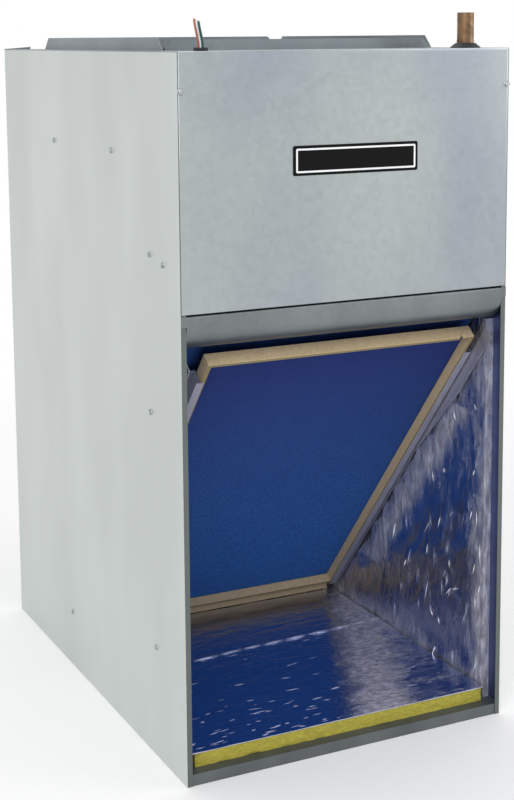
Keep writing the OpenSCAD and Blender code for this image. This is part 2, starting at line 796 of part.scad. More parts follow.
module blower_deck() {
    y1 = back - 2 * sheet;
    color([0.68, 0.71, 0.71]) difference() {
        block([-wall_x, plenum_y, deck_z], [wall_x, y1, deck_top]);
        block([-wall_x + sheet, plenum_y + sheet, deck_z + sheet], [wall_x - sheet, y1 - sheet, cab_h]);
        block([-housing_w / 2, outlet_front, deck_z - 1], [housing_w / 2, outlet_rear, deck_z + 5]);
        side_holes(6);
        housing_bolt_sites() cylinder(h = 20, r = screw_r + screw_gap, center = true);
    }
}

// Wall of the plenum: it stands on the deck's front edge and returns along both linings
module plenum_front() {
    return_x = lining_x - seat;
    color([0.68, 0.71, 0.71]) {
        block([-wall_x + sheet, plenum_y, deck_top], [wall_x - sheet, plenum_y + sheet, cab_h - sheet]);
        for (side = [-1, 1]) translate([side * (return_x - sheet / 2), plenum_y + sheet + 10, (deck_top + under_top) / 2])
            cube([sheet, 20, under_top - deck_top], center = true);
    }
}

// Scroll wrap of the housing, with the flange round its outlet
module blower_wrap() {
    low = [-side_face - outlet_lip, outlet_front - outlet_lip, deck_z - sheet];
    high = [side_face + outlet_lip, outlet_rear + outlet_lip, deck_z];
    color([0.66, 0.69, 0.69]) {
        along_x(-housing_w / 2, housing_w / 2) bent(housing_path);
        difference() {
            block(low, high);
            block([-side_face, outlet_front + sheet / 2, low[2] - 1],
                [side_face, outlet_rear - sheet / 2, deck_z + 1]);
            housing_bolt_sites() cylinder(h = 20, r = screw_r + screw_gap, center = true);
        }
    }
}

// Right side plate of the housing, with its inlet ring
module housing_side() {
    along_x(housing_w / 2, side_face) difference() {
        polygon(housing_path);
        translate([shaft_y, shaft_z]) circle(inlet_r - seat - sheet / 2);
        for (y = [outlet_front - 1, outlet_rear - sheet / 2])
            translate([y, deck_z - sheet]) square([sheet / 2 + 1, 2 * sheet]);
    }
    translate([0, shaft_y, shaft_z]) rotate([0, 90, 0]) rotate_extrude()
        bent([[inlet_r - seat, side_face - 12], [inlet_r - seat, side_face], [inlet_r + 12, side_face]]);
}

module blower_sides() {
    color([0.64, 0.67, 0.67]) {
        housing_side();
        mirror([1, 0, 0]) housing_side();
    }
}

// Children at the bolts between the housing's outlet flange and the deck
module housing_bolt_sites() {
    y0 = outlet_front + 30;
    y1 = outlet_rear - 30;
    for (side = [-1, 1], y = [y0, (y0 + y1) / 2, y1])
        translate([side * (side_face + outlet_lip / 2), y, deck_z + sheet]) children();
}

module housing_bolts() {
    color([0.55, 0.57, 0.58]) housing_bolt_sites() screw(6);
}

// One forward curved blade, drawn in a plane across the shaft
module blade() {
    bent([for (t = [0:0.25:1]) let (r = wheel_r - 15 + 14.5 * t, a = 8 * t * t) [r * cos(a), r * sin(a)]], 0.8);
}

module blower_wheel() {
    ring_w = 5;
    stake = 0.05;
    hub_plate_r = wheel_r - 15.3;
    color([0.60, 0.63, 0.64]) translate([0, shaft_y, shaft_z]) rotate([0, 90, 0]) {
        difference() {
            union() {
                translate([0, 0, -1]) cylinder(h = 2, r = hub_plate_r);
                translate([0, 0, -14]) cylinder(h = 28, r = 16);
            }
            translate([0, 0, -20]) cylinder(h = 40, r = shaft_r + run_fit);
        }
        for (z = [-wheel_w / 2, wheel_w / 2 - ring_w]) translate([0, 0, z]) difference() {
            cylinder(h = ring_w, r = wheel_r);
            translate([0, 0, -1]) cylinder(h = ring_w + 2, r = wheel_r - 12);
        }
        for (k = [0:blades - 1]) rotate([0, 0, 360 * k / blades])
            translate([0, 0, ring_w + stake - wheel_w / 2])
                linear_extrude(wheel_w - 2 * (ring_w + stake)) blade();
    }
}

module motor_shaft() {
    color([0.55, 0.56, 0.58]) x_cylinder(-20, motor_x + motor_l + bell_t + 6, shaft_r, shaft_y, shaft_z);
}

module motor_tube(x0, x1, outer, inner) {
    difference() {
        x_cylinder(x0, x1, outer, shaft_y, shaft_z);
        x_cylinder(x0 - 1, x1 + 1, inner, shaft_y, shaft_z);
    }
}

module motor_shell() {
    color([0.16, 0.17, 0.18]) motor_tube(motor_x, motor_x + motor_l, motor_r, motor_r - 3);
}

module motor_end_bells() {
    color([0.62, 0.64, 0.65]) for (x = [motor_x - bell_t, motor_x + motor_l])
        motor_tube(x, x + bell_t, motor_r, bearing_r + run_fit);
}

module motor_bearings() {
    color([0.72, 0.60, 0.34]) for (x = [motor_x - bell_t, motor_x + motor_l])
        motor_tube(x, x + bell_t, bearing_r, shaft_r + 0.03);
}

module motor_stator() {
    color([0.45, 0.30, 0.22]) motor_tube(motor_x + 15, motor_x + motor_l - 15, motor_r - 3 - run_fit, stator_in);
}

module motor_rotor() {
    color([0.50, 0.51, 0.53]) motor_tube(motor_x + 12, motor_x + motor_l - 12, stator_in - 0.6, shaft_r + run_fit);
}

module motor_mount() {
    band_x = motor_x + motor_l - 14;
    face = side_face + seat;
    band_r = motor_r + run_fit;
    color([0.58, 0.60, 0.61]) translate([0, shaft_y, shaft_z]) difference() {
        union() {
            x_cylinder(band_x, band_x + 12, band_r + 2);
            for (a = [30, 150, 270]) rotate([a, 0, 0]) {
                block([band_x + 4, -7, band_r + 1], [band_x + 7, 7, scroll_min - 2]);
                block([face, -7, inlet_r + 14], [band_x + 7, 7, scroll_min - 2]);
            }
        }
        x_cylinder(band_x - 1, band_x + 13, band_r);
    }
}

module control_box() {
    low = [box_left, box_front, box_z];
    high = [box_left + box_w, box_back, box_z + box_h];
    color([0.64, 0.67, 0.68]) difference() {
        block(low, high);
        block(low + [sheet, -1, sheet], high - [sheet, sheet, sheet]);
        translate([bushing_x, bushing_y, high[2]]) cylinder(h = 10, r = 11, center = true);
        side_holes();
    }
}

module control_board() {
    x0 = box_left + 95;
    z0 = box_z + 20;
    face = box_back - sheet;
    color([0.08, 0.34, 0.20]) {
        block([x0, face - 8.6, z0], [x0 + 100, face - 7, z0 + 95]);
        for (x = [x0 + 6, x0 + 94], z = [z0 + 6, z0 + 89]) translate([x, face, z]) rotate([90, 0, 0])
            cylinder(h = 7, r = 3);
    }
}

module board_parts() {
    x0 = box_left + 95;
    z0 = box_z + 20;
    face = box_back - sheet - 8.6;
    color([0.10, 0.10, 0.12]) {
        for (x = [x0 + 14, x0 + 44]) block([x, face - 16, z0 + 52], [x + 20, face, z0 + 80]);
        block([x0 + 12, face - 10, z0 + 14], [x0 + 62, face, z0 + 24]);
        block([x0 + 72, face - 5, z0 + 30], [x0 + 90, face, z0 + 48]);
    }
}

module transformer() {
    x0 = box_left + 100;
    z0 = box_z + 135;
    face = box_back - sheet;
    color([0.30, 0.30, 0.32]) {
        block([x0 - 10, face - 2, z0], [x0 + 66, face, z0 + 48]);
        block([x0, face - 42, z0 + 4], [x0 + 56, face - 2, z0 + 44]);
        block([x0 + 12, face - 50, z0 + 12], [x0 + 44, face - 42, z0 + 36]);
    }
}

module terminal_block() {
    x0 = bushing_x - 26;
    z0 = box_z + 140;
    face = box_back - sheet;
    color([0.85, 0.83, 0.76]) difference() {
        block([x0, face - 60, z0], [x0 + 60, face, z0 + 26]);
        for (k = [0:2]) block([x0 + 6 + 18 * k, face - 61, z0 + 6], [x0 + 18 + 18 * k, face - 48, z0 + 20]);
    }
}

module run_capacitor() {
    color([0.72, 0.74, 0.75]) translate([box_left + 35, box_back - sheet - seat - capacitor_r, box_z + sheet])
        cylinder(h = capacitor_h, r = capacitor_r);
}

module capacitor_strap() {
    r = capacitor_r + run_fit;
    c = [box_left + 35, box_back - sheet - seat - capacitor_r];
    color([0.55, 0.57, 0.58]) translate([0, 0, box_z + sheet + 40]) linear_extrude(12) difference() {
        union() {
            translate(c) circle(r + 1);
            translate([c[0] - r - 10, box_back - 2 * sheet]) square([2 * r + 20, sheet]);
        }
        translate(c) circle(r);
        translate([c[0] - 40, box_back - sheet]) square([80, 10]);
    }
}

module wire_bushing() {
    color([0.07, 0.07, 0.10]) translate([bushing_x, bushing_y, 0]) {
        translate([0, 0, cab_h]) cylinder(h = bushing_h, r = bushing_r);
        translate([0, 0, cab_h - 9]) cylinder(h = 9, r = bushing_r - 1.5 - run_fit);
    }
}

// Rubber cone round a pipe, with a neck through the top panel
module pipe_grommet(r, hole_r, base_r, high) {
    rotate_extrude() polygon([
        [r + run_fit, cab_h - 4], [hole_r - run_fit, cab_h - 4], [hole_r - run_fit, cab_h],
        [base_r, cab_h], [base_r, cab_h + 0.8], [r + 1.6, cab_h + high], [r + run_fit, cab_h + high]]);
}

module suction_grommet() {
    color([0.15, 0.15, 0.17]) translate([suction_x, stub_y, 0]) pipe_grommet(suction_r, suction_r + 4.6, 20, 6.5);
}

module liquid_grommet() {
    color([0.15, 0.15, 0.17]) translate([liquid_x, liquid_y, 0]) pipe_grommet(liquid_r, liquid_r + 1.6, 8, 3);
}

// Route of lead k above the bushing: up, over and back down, in a plane that is turned by lead_turn
function lead_points(k) = [for (p = lead_route) let (
    along = p[0], aside = p[1] + lead_step * (k - 1))
    [bushing_x + along * sin(lead_turn) + aside * cos(lead_turn),
    bushing_y + along * cos(lead_turn) - aside * sin(lead_turn),
    cab_h + bushing_h + p[2] * lead_lift[k]]];

module lead_brown() {
    color([0.72, 0.40, 0.28]) swept(lead_points(0), lead_r);
}

module lead_white() {
    color([0.88, 0.90, 0.90]) swept(lead_points(1), lead_r);
}

module lead_green() {
    color([0.05, 0.32, 0.28]) swept(lead_points(2), lead_r);
}

module inner_leads() {
    top = cab_h - 9;
    foot = box_z + 140 + 26;
    color([0.30, 0.30, 0.32]) for (k = [0:2]) swept([
        [bushing_x + 4 * (k - 1), bushing_y, top],
        [bushing_x + 4 * (k - 1), bushing_y, top - 5],
        [bushing_x + 5 * (k - 1), bushing_y + 1, top - 20],
        [bushing_x + 6 * (k - 1), bushing_y + 4, (top + foot) / 2],
        [bushing_x + 3 + 15 * (k - 1), bushing_y + 7, foot + 20],
        [bushing_x + 4 + 18 * (k - 1), bushing_y + 8, foot + 5],
        [bushing_x + 4 + 18 * (k - 1), bushing_y + 8, foot]], lead_r);
}

left_side_panel();
right_side_panel();
back_panel();
bottom_pan();
top_panel();
front_access_panel();
header_rail();
nameplate();
panel_screws();
side_screws();
lining_left();
lining_right();
lining_back();
lining_floor();
panel_lining();
filter_frame();
filter_media();
filter_rail_left();
filter_rail_right();
filter_stop();
coil_fins();
coil_tubes();
coil_return_bends();
coil_end_plate_left();
coil_end_plate_right();
coil_top_baffle();
suction_header();
suction_line();
liquid_line();
distributor();
feeder_tubes();
drain_pan();
drain_fittings();
blower_deck();
plenum_front();
blower_wrap();
blower_sides();
blower_wheel();
motor_shaft();
motor_shell();
motor_end_bells();
motor_stator();
motor_rotor();
motor_bearings();
motor_mount();
housing_bolts();
control_box();
control_board();
board_parts();
transformer();
terminal_block();
run_capacitor();
capacitor_strap();
wire_bushing();
suction_grommet();
liquid_grommet();
lead_brown();
lead_white();
lead_green();
inner_leads();
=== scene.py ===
"""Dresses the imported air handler: sheets, foil, filter, coil, blower, screws, leads, camera and light."""
import logging
import math
import random
from dataclasses import dataclass
from enum import Enum
from typing import Callable, Sequence

import bmesh
import bpy
from mathutils import Matrix, Vector, noise


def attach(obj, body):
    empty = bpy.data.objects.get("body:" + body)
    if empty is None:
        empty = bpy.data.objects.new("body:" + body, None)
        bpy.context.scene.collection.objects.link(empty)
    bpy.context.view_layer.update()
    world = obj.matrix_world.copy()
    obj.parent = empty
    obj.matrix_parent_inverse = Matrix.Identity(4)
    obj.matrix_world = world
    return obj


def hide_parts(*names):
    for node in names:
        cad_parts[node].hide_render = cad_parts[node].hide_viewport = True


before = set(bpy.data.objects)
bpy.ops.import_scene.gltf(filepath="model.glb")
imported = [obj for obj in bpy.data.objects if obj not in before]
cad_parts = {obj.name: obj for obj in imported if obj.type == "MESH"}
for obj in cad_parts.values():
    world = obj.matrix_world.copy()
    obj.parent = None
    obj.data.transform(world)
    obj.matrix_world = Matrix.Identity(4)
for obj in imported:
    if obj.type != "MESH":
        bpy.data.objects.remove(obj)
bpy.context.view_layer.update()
LOG = logging.getLogger("air_handler")
Colour = tuple[float, float, float, float]
Path = Sequence[tuple[float, float]]
Tree, Node, Socket = bpy.types.NodeTree, bpy.types.Node, bpy.types.NodeSocket
Piece, Shape, Corner = bpy.types.Object, bmesh.types.BMesh, bmesh.types.BMVert


def linear(code: str) -> Colour:
    """Turn an sRGB hex colour into linear light.

    Args:
        code: Six hex digits.

    Returns:
        Linear red, green and blue, and an alpha of 1.
    """
    shares = [int(code[i:i + 2], 16) / 255 for i in (0, 2, 4)]
    return (*(v / 12.92 if v <= 0.04045 else ((v + 0.055) / 1.055) ** 2.4 for v in shares), 1.0)


def per(size_mm: float) -> float:
    """Return the texture scale at which a pattern repeats about every size_mm millimetres."""
    return 1000.0 / size_mm


def pick(sockets: Sequence[Socket], key: str | int | None = None) -> Socket:
    """Find a node's socket among those in use.

    Args:
        sockets: The node's inputs or outputs.
        key: Its name or its number, or None for the first one.

    Returns:
        The socket.
    """
    if isinstance(key, int):
        return sockets[key]
    return next(s for s in sockets if s.enabled and key in (None, s.name))


def feed(tree: Tree, node: Node, sources: dict) -> None:
    """Link sources to a node's inputs.

    Args:
        tree: Node tree that holds the node.
        node: The node.
        sources: Output sockets, or nodes for their first output in use, by input name or number.
    """
    for key, source in sources.items():
        tree.links.new(pick(source.outputs) if isinstance(source, Node) else source, pick(node.inputs, key))


def add_node(tree: Tree, kind: str, values: dict | None = None, links: dict | None = None,
             **settings: object) -> Node:
    """Add one node with its settings and links.

    Args:
        tree: Node tree that gets the node.
        kind: Blender's name of the node's type.
        values: Constants by input name or number.
        links: What feeds its inputs, as in feed.
        **settings: Properties of the node itself.

    Returns:
        The new node.
    """
    node = tree.nodes.new(kind)
    for name, value in settings.items():
        setattr(node, name, value)
    for key, value in (values or {}).items():
        pick(node.inputs, key).default_value = value
    feed(tree, node, links or {})
    return node


# Finishes

@dataclass(frozen=True)
class Finish:
    """One real material, with its main colour as sRGB hex and its roughness."""

    name: str
    colour: str
    roughness: float

    def surface(self, tree: Tree, shader: Node) -> None:
        """Add the detail of this finish.

        Args:
            tree: The material's nodes.
            shader: Its Principled shader.
        """
        raise NotImplementedError

    def material(self) -> bpy.types.Material:
        """Build the material once and hand out the same one from then on.

        Returns:
            The material.
        """
        made = bpy.data.materials.get(self.name)
        if made is None:
            made = bpy.data.materials.new(self.name)
            made.use_nodes = True
            made.diffuse_color = linear(self.colour)
            shader = made.node_tree.nodes["Principled BSDF"]
            shader.inputs["Base Color"].default_value = linear(self.colour)
            shader.inputs["Roughness"].default_value = self.roughness
            self.surface(made.node_tree, shader)
        return made


@dataclass(frozen=True)
class GalvanisedSheet(Finish):
    """Hot dipped zinc on rolled steel: satin grey, softly clouded, with a faint spangle and uneven gloss."""

    cloud: str = "A3ABAF"
    cloud_mm: float = 150.0
    drawn: float = 0.4
    spangle_mm: float = 7.0
    spangle: float = 0.05
    wave_mm: float = 90.0
    gloss_swing: float = 0.06
    # Tones painted by facing: front is painted shade on folds that face the room, inner a dark bluish painted
    # shade on the bare inner faces
    front: str = ""
    inner: str = ""

    def surface(self, tree: Tree, shader: Node) -> None:
        """Mix two zinc tones in clouds, vary them by spangle and let the sheet wave slightly."""
        shader.inputs["Metallic"].default_value = 1.0
        place = add_node(tree, "ShaderNodeTexCoord").outputs["Object"]
        drawn = add_node(tree, "ShaderNodeMapping", {"Scale": (1.0, 1.0, self.drawn)}, {"Vector": place})
        clouds = add_node(tree, "ShaderNodeTexNoise", {"Scale": per(self.cloud_mm), "Detail": 2.0},
                          {"Vector": drawn})
        share = add_node(tree, "ShaderNodeMapRange", {"From Min": 0.36, "From Max": 0.64}, {"Value": clouds})
        tone = add_node(tree, "ShaderNodeMix", {"A": linear(self.colour), "B": linear(self.cloud)},
                        {"Factor": share}, data_type="RGBA")
        # Painted shade on the faces that look towards the room or inwards
        if self.front:
            tone = self.shade_by_facing(tree, place, tone)
        cells = add_node(tree, "ShaderNodeTexVoronoi", {"Scale": per(self.spangle_mm)}, {"Vector": place})
        cell = cells.outputs["Color"]
        glint = add_node(tree, "ShaderNodeMapRange", {"To Min": 1 - self.spangle, "To Max": 1 + self.spangle},
                         {"Value": cell})
        zinc = add_node(tree, "ShaderNodeMix", {"Factor": 1.0}, {"A": tone, "B": glint}, data_type="RGBA",
                        blend_type="MULTIPLY")
        swing = {"To Min": self.roughness - self.gloss_swing, "To Max": self.roughness + self.gloss_swing}
        gloss = add_node(tree, "ShaderNodeMapRange", swing, {"Value": cell})
        wave = add_node(tree, "ShaderNodeTexNoise", {"Scale": per(self.wave_mm), "Detail": 3.0},
                        {"Vector": drawn})
        bump = add_node(tree, "ShaderNodeBump", {"Strength": 0.4, "Distance": 0.0006}, {"Height": wave})
        feed(tree, shader, {"Base Color": zinc, "Roughness": gloss, "Normal": bump})

    def shade_by_facing(self, tree: Tree, place: Socket, tone: Node) -> Node:
        """Paint shade by facing: darken the narrow folds that face the room and the bare inner faces.

        Args:
            tree: The material's nodes.
            place: Gives the place of a point on the sheet.
            tone: Gives the colour of the outer faces.

        Returns:
            The node that mixes in both tones.
        """
        normal = add_node(tree, "ShaderNodeTexCoord").outputs["Normal"]
        faces = add_node(tree, "ShaderNodeSeparateXYZ", links={0: normal})
        spot = add_node(tree, "ShaderNodeSeparateXYZ", links={0: place})
        ahead = add_node(tree, "ShaderNodeMapRange", {"From Min": -0.5, "From Max": -0.8},
                         {"Value": faces.outputs["Y"]})
        inward = add_node(tree, "ShaderNodeMath", links={0: faces.outputs["X"], 1: spot.outputs["X"]},
                          operation="MULTIPLY")
        within = add_node(tree, "ShaderNodeMapRange", {"From Min": -0.05, "From Max": -0.15},
                          {"Value": inward})
        for share, colour in ((ahead, self.front), (within, self.inner)):
            tone = add_node(tree, "ShaderNodeMix", {"B": linear(colour)}, {"Factor": share, "A": tone},
                            data_type="RGBA")
        return tone


@dataclass(frozen=True)
class CreasedFoil(Finish):
    """Aluminium foil glued to glass wool: a crumpled mirror, matt in streaks and patches that are painted
    bright as painted highlight, with painted shade in its creases.
    """

    # dull is the matt foil's tone, brightened as painted highlight; shade is painted shade in the hollows of
    # the fine creases
    dull: str = "EDEDF3"
    shade: str = "A9A6B0"
    dull_rough: float = 0.5
    dull_metal: float = 0.6
    streak_mm: float = 20.0
    stretch: tuple[float, float, float] = (1.0, 1.0, 0.28)
    crease_mm: float = 6.0
    crease_deep: float = 0.002

    def surface(self, tree: Tree, shader: Node) -> None:
        """Make the foil matt and painted bright in streaks where the mesh's attribute is high, as painted
        highlight, and crease all of it finely, with painted shade in the hollows.
        """
        place = add_node(tree, "ShaderNodeTexCoord").outputs["Object"]
        rubbed_and_lit = add_node(tree, "ShaderNodeAttribute", attribute_name="rubbed_and_lit").outputs["Fac"]
        drawn = add_node(tree, "ShaderNodeMapping", {"Scale": self.stretch}, {"Vector": place})
        streak = add_node(tree, "ShaderNodeTexNoise",
                          {"Scale": per(self.streak_mm), "Detail": 8.0, "Roughness": 0.72, "Distortion": 0.5},
                          {"Vector": drawn})
        fine = add_node(tree, "ShaderNodeTexNoise",
                        {"Scale": per(self.crease_mm), "Detail": 4.0, "Roughness": 0.6, "Distortion": 0.4},
                        {"Vector": drawn})
        # Where the attribute is high the foil turns matt and bright: matt foil with painted highlight
        worn_and_lit = add_node(tree, "ShaderNodeMath", {1: 2.0}, {0: streak, 2: rubbed_and_lit}, operation="MULTIPLY_ADD")
        dull = add_node(tree, "ShaderNodeMapRange", {"From Min": 1.3, "From Max": 1.9}, {"Value": worn_and_lit})
        # The fine noise that sets the bump also darkens the hollows and lightens the crests: painted shade
        # and painted highlight
        speck = add_node(tree, "ShaderNodeMapRange", {"From Min": 0.38, "From Max": 0.62}, {"Value": fine})
        matt = add_node(tree, "ShaderNodeMix", {"A": linear(self.shade), "B": linear(self.dull)},
                        {"Factor": speck}, data_type="RGBA")
        tone = add_node(tree, "ShaderNodeMix", {"A": linear(self.colour)}, {"Factor": dull, "B": matt},
                        data_type="RGBA")
        gloss = add_node(tree, "ShaderNodeMapRange", {"To Min": self.roughness, "To Max": self.dull_rough},
                         {"Value": dull})
        metal = add_node(tree, "ShaderNodeMapRange", {"To Min": 1.0, "To Max": self.dull_metal},
                         {"Value": dull})
        bump = add_node(tree, "ShaderNodeBump", {"Strength": 0.8, "Distance": self.crease_deep},
                        {"Height": fine})
        feed(tree, shader, {"Base Color": tone, "Roughness": gloss, "Metallic": metal,
                            "Normal": bump})


@dataclass(frozen=True)
class MatFibre(Finish):
    """A fibre material, spun or felted: matt, with flecks of a second tone and a fine tangled relief."""

    fleck: str = "000000"
    fibre_mm: float = 2.0
    stretch: tuple[float, float, float] = (1.0, 1.0, 1.0)
    relief_mm: float = 0.4
    low: str = ""
    under: str = ""

    def surface(self, tree: Tree, shader: Node) -> None:
        """Mix the tones by tangled noise, with a low tone near the floor as painted light and an under tone
        on faces below as painted shade.
        """
        shader.inputs["Specular IOR Level"].default_value = 0.3
        place = add_node(tree, "ShaderNodeTexCoord").outputs["Object"]
        drawn = add_node(tree, "ShaderNodeMapping", {"Scale": self.stretch}, {"Vector": place})
        tangle = add_node(tree, "ShaderNodeTexNoise",
                          {"Scale": per(self.fibre_mm), "Detail": 5.0, "Roughness": 0.65, "Distortion": 0.8},
                          {"Vector": drawn})
        share = add_node(tree, "ShaderNodeMapRange", {"From Min": 0.4, "From Max": 0.7}, {"Value": tangle})
        tone = add_node(tree, "ShaderNodeMix", {"A": linear(self.colour), "B": linear(self.fleck)},
                        {"Factor": share}, data_type="RGBA")
        # Painted light: lighter low down, where the light reaches
        if self.low:
            height = add_node(tree, "ShaderNodeSeparateXYZ", links={0: place}).outputs["Z"]
            depth = add_node(tree, "ShaderNodeMapRange", {"From Min": 0.5, "From Max": 0.12},
                             {"Value": height})
            main = add_node(tree, "ShaderNodeMix", {"A": linear(self.colour), "B": linear(self.low)},
                            {"Factor": depth}, data_type="RGBA")
            feed(tree, tone, {"A": main})
        # Painted shade: faces that look down take the darker under tone
        if self.under:
            normal = add_node(tree, "ShaderNodeTexCoord").outputs["Normal"]
            upward = add_node(tree, "ShaderNodeSeparateXYZ", links={0: normal}).outputs["Z"]
            below = add_node(tree, "ShaderNodeMapRange", {"From Min": -0.25, "From Max": -0.5},
                             {"Value": upward})
            tone = add_node(tree, "ShaderNodeMix", {"B": linear(self.under)}, {"Factor": below, "A": tone},
                            data_type="RGBA")
        bump = add_node(tree, "ShaderNodeBump", {"Strength": 0.8, "Distance": self.relief_mm / 1000},
                        {"Height": tangle})
        feed(tree, shader, {"Base Color": tone, "Normal": bump})


@dataclass(frozen=True)
class DrawnMetal(Finish):
    """A solid metal with tarnish in patches and fine drawing or turning lines along one axis."""

    tarnish: str = "808080"
    patch_mm: float = 25.0
    line_mm: float = 1.5
    stretch: tuple[float, float, float] = (1.0, 1.0, 0.1)

    def surface(self, tree: Tree, shader: Node) -> None:
        """Tarnish the metal in patches, with its roughness, and cut the fine lines."""
        shader.inputs["Metallic"].default_value = 1.0
        place = add_node(tree, "ShaderNodeTexCoord").outputs["Object"]
        patches = add_node(tree, "ShaderNodeTexNoise", {"Scale": per(self.patch_mm), "Detail": 4.0},
                           {"Vector": place})
        share = add_node(tree, "ShaderNodeMapRange", {"From Min": 0.4, "From Max": 0.65}, {"Value": patches})
        tone = add_node(tree, "ShaderNodeMix", {"A": linear(self.colour), "B": linear(self.tarnish)},
                        {"Factor": share}, data_type="RGBA")
        swing = {"To Min": self.roughness, "To Max": min(self.roughness + 0.15, 1.0)}
        gloss = add_node(tree, "ShaderNodeMapRange", swing, {"Value": share})
        drawn = add_node(tree, "ShaderNodeMapping", {"Scale": self.stretch}, {"Vector": place})
        lines = add_node(tree, "ShaderNodeTexNoise", {"Scale": per(self.line_mm), "Detail": 2.0},
                         {"Vector": drawn})
        bump = add_node(tree, "ShaderNodeBump", {"Strength": 0.3, "Distance": 0.0001}, {"Height": lines})
        feed(tree, shader, {"Base Color": tone, "Roughness": gloss, "Normal": bump})


@dataclass(frozen=True)
class Moulding(Finish):
    """A moulded or coated non-metal: even colour with slight mottling and a fine pebbled skin."""

    mottle: str = "202020"
    pebble_mm: float = 1.2
    relief_mm: float = 0.05
    coat: float = 0.0
    glint: float = 0.5

    def surface(self, tree: Tree, shader: Node) -> None:
        """Mottle the colour, pebble the skin and set the clear coat."""
        shader.inputs["Specular IOR Level"].default_value = self.glint
        shader.inputs["Coat Weight"].default_value = self.coat
        shader.inputs["Coat Roughness"].default_value = 0.08
        place = add_node(tree, "ShaderNodeTexCoord").outputs["Object"]
        blotch = add_node(tree, "ShaderNodeTexNoise", {"Scale": per(self.pebble_mm * 8), "Detail": 3.0},
                          {"Vector": place})
        tone = add_node(tree, "ShaderNodeMix", {"A": linear(self.colour), "B": linear(self.mottle)},
                        {"Factor": blotch}, data_type="RGBA")
        skin = add_node(tree, "ShaderNodeTexVoronoi", {"Scale": per(self.pebble_mm)}, {"Vector": place},
                        feature="SMOOTH_F1")
        swing = {"To Min": max(self.roughness - 0.05, 0.02), "To Max": self.roughness + 0.08}
        gloss = add_node(tree, "ShaderNodeMapRange", swing, {"Value": blotch})
        bump = add_node(tree, "ShaderNodeBump", {"Strength": 0.4, "Distance": self.relief_mm / 1000},
                        {"Height": skin})
        feed(tree, shader, {"Base Color": tone, "Roughness": gloss, "Normal": bump})


@dataclass(frozen=True)
class Winding(Finish):
    """Varnished copper wire laid in rows: glossy brown bands, with painted shade in the dark gaps between
    them.
    """

    wire_mm: float = 1.6
    gap: str = "2E1A10"

    def surface(self, tree: Tree, shader: Node) -> None:
        """Lay the wires side by side as bands across the shaft's axis."""
        shader.inputs["Coat Weight"].default_value = 0.5
        place = add_node(tree, "ShaderNodeTexCoord").outputs["Object"]
        rows = add_node(tree, "ShaderNodeTexWave", {"Scale": per(self.wire_mm) / 3, "Distortion": 1.0},
                        {"Vector": place}, bands_direction="X").outputs["Fac"]
        # Painted shade: the gap tone darkens the grooves between the wires, where the bump is lowest
        tone = add_node(tree, "ShaderNodeMix", {"A": linear(self.gap), "B": linear(self.colour)},
                        {"Factor": rows}, data_type="RGBA")
        bump = add_node(tree, "ShaderNodeBump", {"Strength": 0.8, "Distance": 0.0006}, {"Height": rows})
        feed(tree, shader, {"Base Color": tone, "Normal": bump})


# Zinc on the outer side sheets: pale, matt, warmed by the floor; the pale tone is painted light, the lit copy
# of the front panel's zinc, and its folds and inner faces take painted shade
SIDE_ZINC = GalvanisedSheet("galvanised_steel_side", "CED3D1", 0.5, cloud="C7CCCA", spangle=0.02,
                            front="6E7472", inner="5A648C")
# Zinc on the front panel: cooler and shinier, with the widest clouds; its darker tone is painted shade, the
# shaded copy of the side sheets' zinc
FRONT_ZINC = GalvanisedSheet("galvanised_steel_front", "9EA5AE", 0.36, cloud="ADB5B4", cloud_mm=190.0,
                             spangle=0.035)
# Zinc on folded inner and top parts: plain satin
INNER_ZINC = GalvanisedSheet("galvanised_steel_inner", "AFB5B8", 0.42, cloud="A3A9AD")
# Zinc on the filter's rails: pale and matt, painted pale as painted light against the shade the filter casts
# on them
RAIL_ZINC = GalvanisedSheet("galvanised_steel_rail", "C9CAD6", 0.6, cloud="BDBECB", spangle=0.03)
# Zinc on the baffle over the coil: tinted dark blue by the media below it, as painted reflection and painted
# shade
BAFFLE_ZINC = GalvanisedSheet("galvanised_steel_baffle", "3A5A9C", 0.6, cloud="32508C", spangle=0.03)
# Zinc on the top sheet and its flanges: greyer, as the lamps graze it
TOP_ZINC = GalvanisedSheet("galvanised_steel_top", "8F969A", 0.42, cloud="848B90")
# Zinc on the header: darker, painted shade for the header that lies in shade under the front panel
SHADED_ZINC = GalvanisedSheet("galvanised_steel_shaded", "83898A", 0.42, cloud="757B7C", cloud_mm=90.0)
# Zinc of the pan: dulled, its darker tone painted shade for the low pan and its ledge under the wool
PAN_ZINC = GalvanisedSheet("galvanised_steel_pan", "767B7D", 0.62, cloud="6A6F71", cloud_mm=70.0)
# Foil on the walls: creases run mostly upright; its mirror tone is tinted blue as painted reflection of the
# blue filter
WALL_FOIL = CreasedFoil("foil_facing_wall", "CDD1E2", 0.16)
# Foil on the floor: fine creases run crosswise; tinted blue the same way, with its matt tones brightened as
# painted reflection
FLOOR_FOIL = CreasedFoil("foil_facing_floor", "C6CAE0", 0.12, dull="E6E3EC", shade="A19DA8", streak_mm=14.0,
                         stretch=(0.5, 1.0, 1.0), crease_mm=5.0, crease_deep=0.0009)
# Sharp crests of the foil: white where they catch the light
FOIL_CREST = DrawnMetal("foil_crest", "F6F6FA", 0.38, tarnish="E4E5EE", patch_mm=8.0)
# Glass wool: yellow resin bonded fibres, matt and layered
GLASS_WOOL = MatFibre("yellow_glass_wool", "BDB24C", 0.95, fleck="8F8838", fibre_mm=3.0,
                      stretch=(0.4, 0.4, 2.0), relief_mm=1.2)
# Paperboard of the filter frame: tan, matt, with a felted grain; faces that look down take a darker tone as
# painted shade
PAPERBOARD = MatFibre("tan_paperboard", "C9B593", 0.85, fleck="B5A07C", fibre_mm=4.0,
                      relief_mm=0.15, under="8E7F5C")
